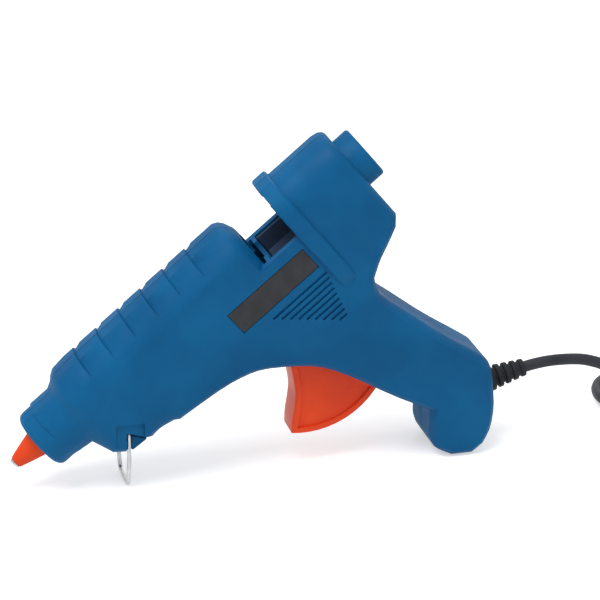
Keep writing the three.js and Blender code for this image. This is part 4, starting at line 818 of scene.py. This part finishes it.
relief = {
    "spot": place(0.889, -0.889),
    "rise": 13.0,
    "inside": 6.0,
    "flange": 2.0,
    "length": 17.5,
    "base": 5.6,
    "baseFrom": 1.1,
    "baseEnd": 3.7,
    "baseDrop": 0.3,
    "neck": 3.7,
    "firstRib": 5.0,
    "lastRib": 3.8,
    "lastGap": 3.15,
    "bore": 2.45,
    "ribs": 4,
    "gapShare": 0.4,
    "flankShare": 0.02,
    "ribBack": 0.05,
    "ribDrop": 0.15,
    "endRim": 0.5,
    "endDepth": 0.2,
    "rounding": 0.35,
    "roundingSteps": 4,
    "sides": 64,
}


def makeRelief():
    # the profile steps through rounded ribs that shrink towards the lead, with deep gaps between
    r = relief
    pitchLength = (r["length"] - r["baseEnd"]) / r["ribs"]
    flangeEnd = r["flange"] - r["inside"]
    corners = [(-r["inside"], r["bore"]), (-r["inside"], r["base"]), (flangeEnd, r["base"]),
               (flangeEnd, r["neck"]), (r["baseFrom"], r["neck"]), (r["baseFrom"], r["base"]),
               (r["baseEnd"], r["base"] - r["baseDrop"])]
    for i in range(r["ribs"]):
        share = i / (r["ribs"] - 1)
        start = r["baseEnd"] + i * pitchLength
        gapEnd = start + r["gapShare"] * pitchLength
        outer = r["firstRib"] + share * (r["lastRib"] - r["firstRib"])
        gap = r["neck"] + share * (r["lastGap"] - r["neck"])
        corners += [(start, gap), (gapEnd, gap), (gapEnd + r["flankShare"] * pitchLength, outer),
                    (start + pitchLength - r["ribBack"], outer - r["ribDrop"])]
    corners += [(r["length"], r["bore"] + r["endRim"]), (r["length"] - r["endDepth"], r["bore"]),
                (0.0, r["bore"]), (-r["inside"], r["bore"])]
    profile = roundedProfile(corners, r["rounding"], r["roundingSteps"])
    tilt = math.radians(r["rise"] - gun["pitch"])
    points, faces = turnedOn(profile, r["sides"], r["spot"], tilt)
    piece = meshObject("ribbed_relief", onBench(points), faces, finish["reliefRubber"],
                       "housing", sharp=45)
    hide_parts("strain_relief")


makeRelief()
print("strain relief made")


# Moulded pieces: the solid's own form, merged and with its edges rounded. Each node has the
# piece's name, its finish, body and slot, and the width of its rounding in millimetres.

mouldings = {
    "left_shell": ("near_shell", "shellBlue", "housing", "body_blue", 0.5),
    "right_shell": ("far_shell", "shellBlue", "housing", "body_blue", 0.5),
    # the cradle's dark finish is partly painted shade for the inside of the trough
    "stick_cradle": ("cradle_channel", "cradleGreyAndShade", "housing", "black_plastic", 0.25),
    "plug_body": ("two_pin_plug", "darkPlastic", "housing", "black_plastic", 0.5),
    "hank_tie": ("hank_band", "darkPlastic", "housing", "black_plastic", 0.15),
}

# merge in metres; faces within the flat angle become one, and a corner over the sharp angle is
# rounded, both in degrees
rounding = {
    "merge": 1e-6,
    "flatAngle": 0.6,
    "sharpAngle": 34,
    "segments": 3,
}


def roundEdges(node):
    # the merged form is bevelled where two faces meet at a real corner; shallow facets are
    # shaded smooth
    name, finishName, body, slot, width = mouldings[node]
    flat, sharp = math.radians(rounding["flatAngle"]), math.radians(rounding["sharpAngle"])
    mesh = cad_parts[node].data.copy()
    mesh.name = name
    work = bmesh.new()
    work.from_mesh(mesh)
    bmesh.ops.remove_doubles(work, verts=work.verts, dist=rounding["merge"])
    bmesh.ops.recalc_face_normals(work, faces=work.faces)
    bmesh.ops.dissolve_limit(work, angle_limit=flat, verts=work.verts, edges=work.edges)
    work.to_mesh(mesh)
    work.free()
    mesh.materials.clear()
    mesh.materials.append(finish[finishName])
    mesh.shade_smooth()
    mesh.set_sharp_from_angle(angle=sharp)
    piece = bpy.data.objects.new(name, mesh)
    bpy.context.scene.collection.objects.link(piece)
    edges = piece.modifiers.new("edges", "BEVEL")
    edges.width = width / 1000
    edges.segments = rounding["segments"]
    edges.limit_method = "ANGLE"
    edges.angle_limit = sharp
    edges.harden_normals = True
    edges.use_clamp_overlap = True
    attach(piece, body)
    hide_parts(node)
    return piece


moulded = {node: roundEdges(node) for node in mouldings}
print("mouldings made")


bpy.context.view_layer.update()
